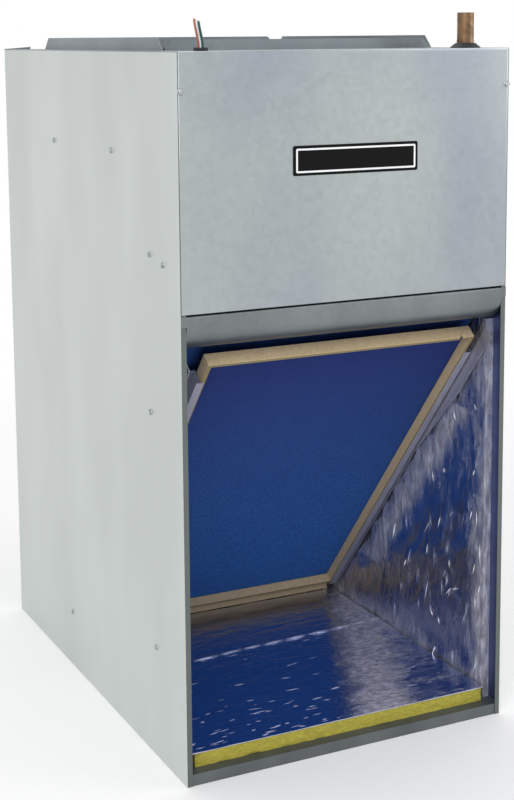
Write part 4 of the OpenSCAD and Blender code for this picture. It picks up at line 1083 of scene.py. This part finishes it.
@dataclass
class BayLining:
    """Foil faced glass wool on the walls, the floor, the back and the front panel."""

    wall: float = 0.234
    thick: float = 0.013
    front: float = -0.317
    back: float = 0.328
    low: float = 0.015
    header: float = 0.5525
    header_front: float = -0.2915
    deck: float = 0.7747
    plenum: tuple[float, float] = (0.7963, 0.9007)
    plenum_front: float = -0.234
    drains: tuple[tuple[float, float], ...] = ((0.15598, 0.051), (0.20098, 0.0535))
    drain_hole: float = 0.0153
    drill: float = 0.04
    floor_half: float = 0.2206
    floor_front: float = -0.325
    floor_back: float = 0.3277
    floor_high: float = 0.035
    floor_skin: float = 0.0016
    wool_half: float = 0.217
    wall_step: float = 0.004
    floor_step: float = 0.0036
    wool_step: float = 0.003
    plain_step: float = 0.012
    panel_size: tuple[float, float, float] = (0.452, 0.2979, 0.012)
    panel_corner: tuple[float, float, float] = (0.226, -0.33, 0.6025)

    def drained(self, shape: Shape) -> Shape:
        """Cut the holes of the drain fittings through the right wall's lining.

        Args:
            shape: The lining's foil slab, which is freed.

        Returns:
            The slab with its two round holes.
        """
        slab = mesh_object("undrained_slab", shape, 60.0)
        drill = bmesh.new()
        for y, z in self.drains:
            across = Matrix.Rotation(math.pi / 2, 4, "Y")
            bmesh.ops.create_cone(drill, cap_ends=True, segments=40, radius1=self.drain_hole,
                                  radius2=self.drain_hole, depth=self.drill,
                                  matrix=Matrix.Translation((self.wall - self.thick / 2, y, z)) @ across)
        bit = mesh_object("drain_drill", drill)
        cut = slab.modifiers.new("drain_holes", "BOOLEAN")
        cut.object, cut.operation, cut.solver = bit, "DIFFERENCE", "EXACT"
        mesh = bpy.data.meshes.new_from_object(slab.evaluated_get(bpy.context.evaluated_depsgraph_get()))
        holed = bmesh.new()
        holed.from_mesh(mesh)
        for spare in (slab, bit):
            bpy.data.objects.remove(spare)
        bpy.data.meshes.remove(mesh)
        return holed

    def wall_wear_and_highlight(self, u: float, v: float) -> float:
        """Return how matt the wall's foil is and how bright it is painted, as painted highlight: most at its
        front edge, its foot, its top and the filter rail.

        Args:
            u: Depth behind the lining's front edge, in metres.
            v: Height above its foot.
        """
        height = v + self.low
        above = -SLOPE.behind(self.front + u, height)
        edge = 0.95 - u * 14 if height < 0.3 else 0.75 - u * 12
        foot = 0.85 - max(0.0, height - 0.02) * 12
        crown = 0.5 - abs(height - 0.5) * 1.2
        rail = 0.95 - abs(above - 0.032) * 22 if 0.12 < height < 0.42 else 0.0
        return max(0.26, edge, foot, crown, rail)

    def wall_lining(self, name: str, side: int) -> None:
        """Line one side wall: crumpled foil below the header, plain blocks above.

        Args:
            name: left or right.
            side: -1 or 1.
        """
        shape = bmesh.new()
        inner = side * (self.wall - self.thick)
        place = Matrix(((0, 0, -side, inner), (1, 0, 0, self.front), (0, 1, 0, self.low), (0, 0, 0, 1)))
        relief = Relief(depth=0.0042, seed=3.0 * side, ridge_mm=24.0, stretch=3.0, lean=0.25)
        size = (self.back - self.front, self.header - self.low, self.thick)
        facing_slab(shape, place, size, self.wall_step, relief.lift, self.wall_wear_and_highlight)
        if side > 0:
            shape = self.drained(shape)
        x0, x1 = sorted((inner, side * self.wall))
        add_block(shape, (x0, self.header_front, self.header), (x1, self.back, self.deck))
        add_block(shape, (x0, self.plenum_front, self.plenum[0]), (x1, self.back, self.plenum[1]))
        piece = mesh_object(f"{name}_wall_foil", shape, 60.0)
        settle(piece, WALL_FOIL, Seat("cabinet", "foil", (f"lining_{name}",)))

    def floor_wear_and_reflection(self, u: float, v: float) -> float:
        """Return how matt the floor's foil is and how bright it is painted, as painted reflection: most in a
        band from its front middle to its right back.

        Args:
            u: Distance from its left edge, in metres.
            v: Depth behind its front edge.
        """
        aside = u - self.floor_half - (0.06 + 0.44 * v)
        fall, rest = (16, 0.0) if aside < 0 else (9, 0.36)
        return max(0.95 - max(0.0, abs(aside) - 0.012) * fall, rest)

    def floor_lining(self) -> None:
        """Lay the floor's foil with its crosswise creases, over a yellow edge of glass wool."""
        deep = self.floor_back - self.floor_front
        foil, wool = bmesh.new(), bmesh.new()
        place = Matrix(((1, 0, 0, -self.floor_half), (0, 1, 0, self.floor_front), (0, 0, 1, self.floor_high),
                        (0, 0, 0, 1)))
        relief = Relief(depth=0.0011, seed=11.0, ridge_mm=12.0, stretch=5.0, crosswise=True)
        facing_slab(foil, place, (2 * self.floor_half, deep, self.floor_skin), self.floor_step, relief.lift,
                    self.floor_wear_and_reflection)
        settle(mesh_object("floor_foil", foil, 60.0), FLOOR_FOIL,
               Seat("cabinet", "foil_floor", ("lining_floor",)))
        place = Matrix(((1, 0, 0, -self.wool_half), (0, 0, -1, self.floor_front), (0, 1, 0, self.low),
                        (0, 0, 0, 1)))
        relief = Relief(depth=0.0022, seed=5.0, ridge_mm=6.0, stretch=4.0, crosswise=True)
        high = self.floor_high - self.floor_skin - self.low
        facing_slab(wool, place, (2 * self.wool_half, high, deep), self.wool_step, relief.lift)
        settle(mesh_object("floor_glass_wool", wool, 70.0), GLASS_WOOL, Seat("cabinet", "foil_floor"))

    def hidden_linings(self) -> None:
        """Line the back wall and the front panel, where the foil lies flatter."""
        back, panel = bmesh.new(), bmesh.new()
        relief = Relief(depth=0.002, seed=21.0, ridge_mm=40.0, stretch=3.0)
        for z0, z1 in ((self.low, self.deck), self.plenum):
            place = Matrix(((-1, 0, 0, self.wall), (0, 0, -1, self.back), (0, 1, 0, z0), (0, 0, 0, 1)))
            facing_slab(back, place, (2 * self.wall, z1 - z0, self.thick), self.plain_step, relief.lift)
        settle(mesh_object("back_foil", back, 60.0), WALL_FOIL, Seat("cabinet", "foil", ("lining_back",)))
        relief = Relief(depth=0.002, seed=31.0, ridge_mm=40.0, stretch=3.0)
        right, deep, low = self.panel_corner
        place = Matrix(((-1, 0, 0, right), (0, 0, 1, deep), (0, 1, 0, low), (0, 0, 0, 1)))
        facing_slab(panel, place, self.panel_size, self.plain_step, relief.lift)
        settle(mesh_object("panel_foil", panel, 60.0), WALL_FOIL,
               Seat("front_panel", "foil", ("panel_lining",)))

    def build(self) -> None:
        """Make every lining."""
        self.wall_lining("right", 1)
        self.wall_lining("left", -1)
        self.floor_lining()
        self.hidden_linings()


@dataclass
class FilterCell:
    """The slanted filter: a folded paperboard frame round a mat of blue fibre."""

    width: float = 0.394
    length: float = 0.622
    across: float = 0.013
    mat_high: float = 0.0172
    mat_thick: float = 0.003
    mat_inset: float = 0.00155
    mat_step: float = 0.007
    pucker: float = 0.0008
    rim: tuple[float, float] = (0.004, 0.024)

    def build(self) -> None:
        """Make the board frame from the source's solid, and the mat with its slight puckers."""
        board = merged_copy("filter_frame", "filter_board_frame", bevel_mm=0.5)
        settle(board, PAPERBOARD, Seat("filter", "filter_board", ("filter_frame",)))
        mat = bmesh.new()
        wide, long = self.width - 2 * self.mat_inset, self.length - 2 * self.mat_inset
        start = Matrix.Translation((self.across - wide / 2, self.mat_inset, self.mat_high))

        def puckered(u: float, v: float) -> float:
            """Return the relief of the mat, which fades out at the frame."""
            inside = min(u, wide - u, v, long - v)
            ease = min(max((inside - self.rim[0]) / (self.rim[1] - self.rim[0]), 0.0), 1.0)
            broad = noise.noise(Vector((u * per(60), v * per(90), 2.0)))
            fine = noise.noise(Vector((u * per(18), v * per(18), 5.0)))
            return self.pucker * (broad + 0.4 * fine) * ease

        facing_slab(mat, SLOPE.place() @ start, (wide, long, self.mat_thick), self.mat_step, puckered,
                    both=True)
        settle(mesh_object("filter_fibre_mat", mat, 80.0), SPUN_FIBRE,
               Seat("filter", "filter_blue", ("filter_media",)))


# Repeated pieces made with Geometry Nodes

class Joinery:
    """Builds node trees with named inputs and turns their result into plain meshes."""

    @staticmethod
    def tree(name: str, inputs: dict[str, float | int]) -> tuple[Tree, dict[str, Socket]]:
        """Start a geometry tree.

        Args:
            name: Name of the tree.
            inputs: Default of each named input; whole numbers make integer inputs.

        Returns:
            The tree, and the sockets that give its inputs, by name.
        """
        tree = bpy.data.node_groups.new(name, "GeometryNodeTree")
        tree.interface.new_socket("Geometry", in_out="INPUT", socket_type="NodeSocketGeometry")
        for label, value in inputs.items():
            kind = "NodeSocketInt" if isinstance(value, int) else "NodeSocketFloat"
            tree.interface.new_socket(label, in_out="INPUT", socket_type=kind).default_value = value
        tree.interface.new_socket("Geometry", in_out="OUTPUT", socket_type="NodeSocketGeometry")
        start = add_node(tree, "NodeGroupInput")
        return tree, {s.name: s for s in start.outputs if s.name}

    @staticmethod
    def close(tree: Tree, source: Node, finish: Finish) -> None:
        """End a tree: make its instances real and give them their material."""
        real = add_node(tree, "GeometryNodeRealizeInstances", links={0: source})
        painted = add_node(tree, "GeometryNodeSetMaterial", {"Material": finish.material()}, {0: real})
        add_node(tree, "NodeGroupOutput", links={0: painted})

    @staticmethod
    def harvest(name: str, points: bpy.types.Mesh, tree: Tree, values: dict[str, float | int],
                place: Matrix = Matrix.Identity(4), angle: float = 35.0) -> Piece:
        """Run a tree on a mesh of points and keep the result as a plain mesh.

        Args:
            name: Name of the piece.
            points: Mesh that the tree starts from.
            tree: The tree.
            values: Named inputs to set.
            place: Takes the result to the shared frame.
            angle: Degrees above which an edge is a corner.

        Returns:
            The piece.
        """
        maker = bpy.data.objects.new(f"{name}_maker", points)
        bpy.context.scene.collection.objects.link(maker)
        modifier = maker.modifiers.new("repeat", "NODES")
        modifier.node_group = tree
        for item in tree.interface.items_tree:
            if item.item_type == "SOCKET" and item.in_out == "INPUT" and item.name in values:
                modifier[item.identifier] = values[item.name]
        graph = bpy.context.evaluated_depsgraph_get()
        mesh = bpy.data.meshes.new_from_object(maker.evaluated_get(graph))
        maker.modifiers.remove(modifier)
        bpy.data.objects.remove(maker)
        shape = bmesh.new()
        shape.from_mesh(mesh)
        shape.transform(place)
        made = mesh_object(name, shape, angle)
        for material in mesh.materials:
            made.data.materials.append(material)
        bpy.data.meshes.remove(mesh)
        return made


@dataclass
class Fasteners:
    """Hex washer head screws at every screw and bolt site."""

    shank: float = 0.0019
    washer: float = 0.0043
    washer_high: float = 0.0008
    head: float = 0.0036
    head_high: float = 0.0024
    side: float = 0.235
    panel: tuple[float, float, float] = (0.2315, -0.343, 0.867)
    bolt_side: float = 0.123
    bolt_high: float = 0.776
    bolt_rows: tuple[float, ...] = (-0.083, -0.00189, 0.07923)

    def screw_tree(self) -> Tree:
        """Return the tree that sets one screw on each point, along its facing attribute."""
        tree, sockets = Joinery.tree("hex_washer_screws", {
            "Shank height": 0.01, "Shank radius": self.shank, "Washer radius": self.washer,
            "Washer height": self.washer_high, "Head radius": self.head, "Head height": self.head_high})
        whole = add_node(tree, "GeometryNodeJoinGeometry")
        # Each part's size, sides, narrowing at its top, share of the height it fills, and lift in heights
        for size, sides, narrow, squash, lift in (
                ("Shank", 12, None, 1.0, -0.5), ("Washer", 24, 0.86, 1.0, 0.0),
                ("Head", 6, None, 0.8, 0.5), ("Head", 6, 0.8, 0.25, 0.75)):
            radius, height = sockets[f"{size} radius"], sockets[f"{size} height"]
            if narrow:
                top = add_node(tree, "ShaderNodeMath", {1: narrow}, {0: radius}, operation="MULTIPLY")
                part = add_node(tree, "GeometryNodeMeshCone", {"Vertices": sides, "Side Segments": 1},
                                {"Radius Top": top, "Radius Bottom": radius, "Depth": height})
            else:
                part = add_node(tree, "GeometryNodeMeshCylinder", {"Vertices": sides},
                                {"Radius": radius, "Depth": height})
            if lift:
                rise = add_node(tree, "ShaderNodeMath", {1: lift}, {0: height}, operation="MULTIPLY")
                up = add_node(tree, "ShaderNodeCombineXYZ", links={"Z": rise})
                part = add_node(tree, "GeometryNodeTransform", {"Scale": (1.0, 1.0, squash)},
                                {0: part, "Translation": up})
            feed(tree, whole, {0: part})
        facing = add_node(tree, "GeometryNodeInputNamedAttribute", {"Name": "facing"},
                          data_type="FLOAT_VECTOR")
        turn = add_node(tree, "FunctionNodeAlignRotationToVector", links={"Vector": facing}, axis="Z")
        copies = add_node(tree, "GeometryNodeInstanceOnPoints",
                          links={"Points": sockets["Geometry"], "Instance": whole, "Rotation": turn})
        Joinery.close(tree, copies, ZINC_PLATE)
        return tree

    def build(self) -> None:
        """Set the side screws, the panel screws and the housing bolts."""
        tree = self.screw_tree()
        rail = [SLOPE.point(0.095, 0.008), SLOPE.point(0.592, 0.014)]
        spots = [(-0.12, 0.785), (0.111, 0.785), *rail, (-0.247, 0.15)]
        sides = [((side * self.side, y, z), (side, 0, 0)) for side in (-1, 1) for y, z in spots]
        sides += [((-self.side, y, z), (-1, 0, 0)) for y, z in ((-0.289, 0.655), (-0.246, 0.663))]
        x, y, z = self.panel
        panel = [((side * x, y, z), (0, -1, 0)) for side in (-1, 1)]
        bolts = [((side * self.bolt_side, row, self.bolt_high), (0, 0, 1)) for side in (-1, 1)
                 for row in self.bolt_rows]
        for name, sites, shank, body, node in (
                ("side_screw_set", sides, 0.017, "cabinet", "side_screws"),
                ("panel_screw_set", panel, 0.009, "front_panel", "panel_screws"),
                ("housing_bolt_set", bolts, 0.006, "cabinet", "housing_bolts")):
            points = bpy.data.meshes.new(f"{name}_sites")
            points.from_pydata([place for place, _ in sites], [], [])
            facing = points.attributes.new("facing", "FLOAT_VECTOR", "POINT")
            for item, (_, direction) in zip(facing.data, sites):
                item.vector = direction
            settle(Joinery.harvest(name, points, tree, {"Shank height": shank}), ZINC_PLATE,
                   Seat(body, "zinc_screw", (node,)))


@dataclass
class FoilCrests:
    """The sharp crests that stand up from the foil: slim three sided spindles, partly sunk in it."""

    seed: int = 7
    floor_count: int = 150
    floor_high: float = 0.0345
    floor_side: float = 0.21
    floor_front: float = -0.32
    floor_deep: float = 0.26
    floor_wide: float = 0.0011
    floor_long: tuple[float, float] = (0.006, 0.022)
    wall_count: int = 110
    wall_face: float = 0.2218
    wall_y: tuple[float, float] = (-0.31, 0.1)
    wall_z: tuple[float, float] = (0.04, 0.5)
    wall_clear: float = 0.03
    wall_wide: float = 0.0014
    wall_long: tuple[float, float] = (0.008, 0.034)
    crease: tuple[float, float] = (0.0026, 0.0022)
    crease_high: float = 0.0355

    def crest_tree(self) -> Tree:
        """Return the tree that sets a spindle on each point, turned and sized by the point's attributes."""
        tree, sockets = Joinery.tree("foil_crests", {"Sides": 3})
        half = add_node(tree, "GeometryNodeMeshCone",
                        {"Side Segments": 3, "Radius Top": 0.0, "Radius Bottom": 0.5, "Depth": 0.5},
                        {"Vertices": sockets["Sides"]}, fill_type="NONE")
        other = add_node(tree, "GeometryNodeTransform", {"Scale": (1.0, 1.0, -1.0)}, {0: half})
        turned = add_node(tree, "GeometryNodeFlipFaces", links={0: other})
        both = add_node(tree, "GeometryNodeJoinGeometry")
        for part in (half, turned):
            feed(tree, both, {0: part})
        whole = add_node(tree, "GeometryNodeMergeByDistance", {"Distance": 0.001}, {0: both})
        size = add_node(tree, "GeometryNodeInputNamedAttribute", {"Name": "size"}, data_type="FLOAT_VECTOR")
        lie = add_node(tree, "GeometryNodeInputNamedAttribute", {"Name": "turn"}, data_type="FLOAT_VECTOR")
        copies = add_node(tree, "GeometryNodeInstanceOnPoints",
                          links={"Points": sockets["Geometry"], "Instance": whole, "Rotation": lie,
                                 "Scale": size})
        Joinery.close(tree, copies, FOIL_CREST)
        return tree

    def long_crease(self) -> list[tuple]:
        """Return the pieces of the one long crease across the floor, left to right."""
        line = [(-0.105, -0.0615), (-0.06, -0.0575), (-0.02, -0.0535), (0.012, -0.053), (0.05, -0.051),
                (0.09, -0.0485), (0.13, -0.0475), (0.17, -0.0445), (0.2, -0.044), (0.219, -0.041)]
        sites = []
        for (x0, y0), (x1, y1) in zip(line, line[1:]):
            long = math.hypot(x1 - x0, y1 - y0)
            sites.append((((x0 + x1) / 2, (y0 + y1) / 2, self.crease_high), (*self.crease, long),
                          (0.0, math.pi / 2, math.atan2(y1 - y0, x1 - x0))))
        return sites

    def build(self) -> None:
        """Scatter the crests with a fixed seed and set them on the floor's and the right wall's foil."""
        draw = random.Random(self.seed)
        sites = self.long_crease()
        for _ in range(self.floor_count):
            x = draw.uniform(-self.floor_side, self.floor_side)
            y = self.floor_front + self.floor_deep * draw.random() ** 1.4
            if draw.random() > 0.9 - 1.4 * (x + self.floor_side):
                continue
            size = (self.floor_wide, self.floor_wide, draw.uniform(*self.floor_long))
            sites.append(((x, y, self.floor_high), size, (0.0, math.pi / 2, draw.gauss(0.04, 0.12))))
        for _ in range(self.wall_count):
            y, z = draw.uniform(*self.wall_y), draw.uniform(*self.wall_z)
            if SLOPE.behind(y, z) > -self.wall_clear:
                continue
            size = (self.wall_wide, self.wall_wide, draw.uniform(*self.wall_long))
            sites.append(((self.wall_face, y, z), size, (draw.gauss(0.1, 0.2), 0.0, draw.uniform(0.0, 1.0))))
        points = bpy.data.meshes.new("foil_crest_sites")
        points.from_pydata([site for site, _, _ in sites], [], [])
        for label, column in (("size", 1), ("turn", 2)):
            layer = points.attributes.new(label, "FLOAT_VECTOR", "POINT")
            for item, site in zip(layer.data, sites):
                item.vector = site[column]
        crests = Joinery.harvest("foil_crest_set", points, self.crest_tree(), {"Sides": 3}, angle=60.0)
        settle(crests, FOIL_CREST, Seat("cabinet", "foil"))


@dataclass
class CoilPack:
    """The slab coil: fins, tubes, bends, lines and pan."""

    left: float = -0.1961
    right: float = 0.1599
    start: float = 0.105
    length: float = 0.508
    near: float = 0.036
    depth: float = 0.044
    pitch: float = 0.0036
    sheet: float = 0.00025
    ripple: float = 0.0005
    waves: int = 4
    rows: int = 9

    def fin_tree(self) -> Tree:
        """Return the tree that stacks rippled fins along X."""
        tree, sockets = Joinery.tree("fin_stack", {
            "Count": 10, "Pitch": self.pitch, "Length": self.length, "Depth": self.depth,
            "Ripple": self.ripple})
        size = add_node(tree, "ShaderNodeCombineXYZ", {"X": self.sheet},
                        {"Y": sockets["Length"], "Z": sockets["Depth"]})
        plate = add_node(tree, "GeometryNodeMeshCube",
                         {"Vertices X": 2, "Vertices Y": 2, "Vertices Z": self.rows}, {"Size": size})
        spot = add_node(tree, "GeometryNodeInputPosition")
        deep = add_node(tree, "ShaderNodeSeparateXYZ", links={0: spot}).outputs["Z"]
        phase = add_node(tree, "ShaderNodeMath", {1: 2 * math.pi * self.waves / self.depth}, {0: deep},
                         operation="MULTIPLY")
        wave = add_node(tree, "ShaderNodeMath", links={0: phase}, operation="COSINE")
        aside = add_node(tree, "ShaderNodeMath", links={0: wave, 1: sockets["Ripple"]}, operation="MULTIPLY")
        push = add_node(tree, "ShaderNodeCombineXYZ", links={"X": aside})
        fin = add_node(tree, "GeometryNodeSetPosition", links={"Geometry": plate, "Offset": push})
        stride = add_node(tree, "ShaderNodeCombineXYZ", links={"X": sockets["Pitch"]})
        line = add_node(tree, "GeometryNodeMeshLine", links={"Count": sockets["Count"], "Offset": stride})
        row = add_node(tree, "GeometryNodeInstanceOnPoints", links={"Points": line, "Instance": fin})
        Joinery.close(tree, row, FIN_STOCK)
        return tree

    def build(self) -> None:
        """Stack the fins and dress the copper, the distributor and the drain."""
        count = int((self.right - self.left) / self.pitch)
        spare = (self.right - self.left - (count - 1) * self.pitch) / 2
        place = SLOPE.place() @ Matrix.Translation(
            (self.left + spare, self.start + self.length / 2, self.near + self.depth / 2))
        empty = bpy.data.meshes.new("fin_stack_start")
        fins = Joinery.harvest("coil_fin_stack", empty, self.fin_tree(), {"Count": count}, place, 60.0)
        settle(fins, FIN_STOCK, Seat("cabinet", "fin_aluminium", ("coil_fins",)))
        for node in ("suction_line", "liquid_line", "coil_return_bends"):
            pipe = merged_copy(node, f"{node}_drawn")
            settle(pipe, COPPER, Seat("cabinet", "copper", (node,)))
        dress(COPPER, "coil_tubes", "suction_header", "feeder_tubes")
        dress(BRASS, "distributor")
        dress(BLACK_POLYPROPYLENE, "drain_pan", "drain_fittings")


@dataclass
class BlowerUnit:
    """Housing, wheel and motor."""

    def build(self) -> None:
        """Dress the blower's nodes, with smooth copies of the turned parts."""
        dress(INNER_ZINC, "blower_wrap", "blower_sides", "blower_wheel", "motor_mount")
        dress(GROUND_STEEL, "motor_shaft", "motor_rotor")
        dress(BRASS, "motor_bearings")
        dress(WINDING, "motor_stator")
        dress(CAST_METAL, "motor_end_bells")
        shell = merged_copy("motor_shell", "motor_shell_painted", bevel_mm=0.8)
        settle(shell, BAKED_PAINT, Seat("cabinet", "motor_paint", ("motor_shell",)))


@dataclass
class ControlBay:
    """Control box with its board, transformer, terminals, capacitor and inner leads."""

    def build(self) -> None:
        """Dress the controls."""
        dress(INNER_ZINC, "control_box", "capacitor_strap")
        dress(SOLDER_MASK, "control_board")
        dress(PHENOLIC, "board_parts", "transformer")
        dress(POLYAMIDE, "terminal_block")
        dress(VINYL_GREY, "inner_leads")
        can = merged_copy("run_capacitor", "capacitor_can", bevel_mm=1.0)
        settle(can, CAST_METAL, Seat("cabinet", "cast_metal", ("run_capacitor",)))


@dataclass
class TopFittings:
    """Rubber parts round the pipes and leads on the top."""

    def build(self) -> None:
        """Round the edges of the rubber parts."""
        for node, bevel in (("wire_bushing", 0.6), ("suction_grommet", 0.3), ("liquid_grommet", 0.2)):
            settle(merged_copy(node, f"{node}_moulded", bevel_mm=bevel), RUBBER,
                   Seat("cabinet", "rubber_black", (node,)))


class Stage(Enum):
    """The order in which the sub-assemblies are made."""

    CAMERA = PhotoCamera
    LEADS = WireLeads
    STUDIO = StudioSet
    SHEETS = CabinetSheets
    PANEL = AccessPanel
    HEADER = HeaderRail
    PLATE = Nameplate
    LINING = BayLining
    FILTER = FilterCell
    CRESTS = FoilCrests
    COIL = CoilPack
    BLOWER = BlowerUnit
    CONTROLS = ControlBay
    TOP = TopFittings
    SCREWS = Fasteners


def main() -> None:
    """Build every sub-assembly in order."""
    logging.basicConfig(level=logging.INFO, format="%(name)s: %(message)s")
    for stage in Stage:
        LOG.info("making %s", stage.name.lower())
        stage.value().build()
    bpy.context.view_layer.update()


if __name__ == "__main__":
    main()
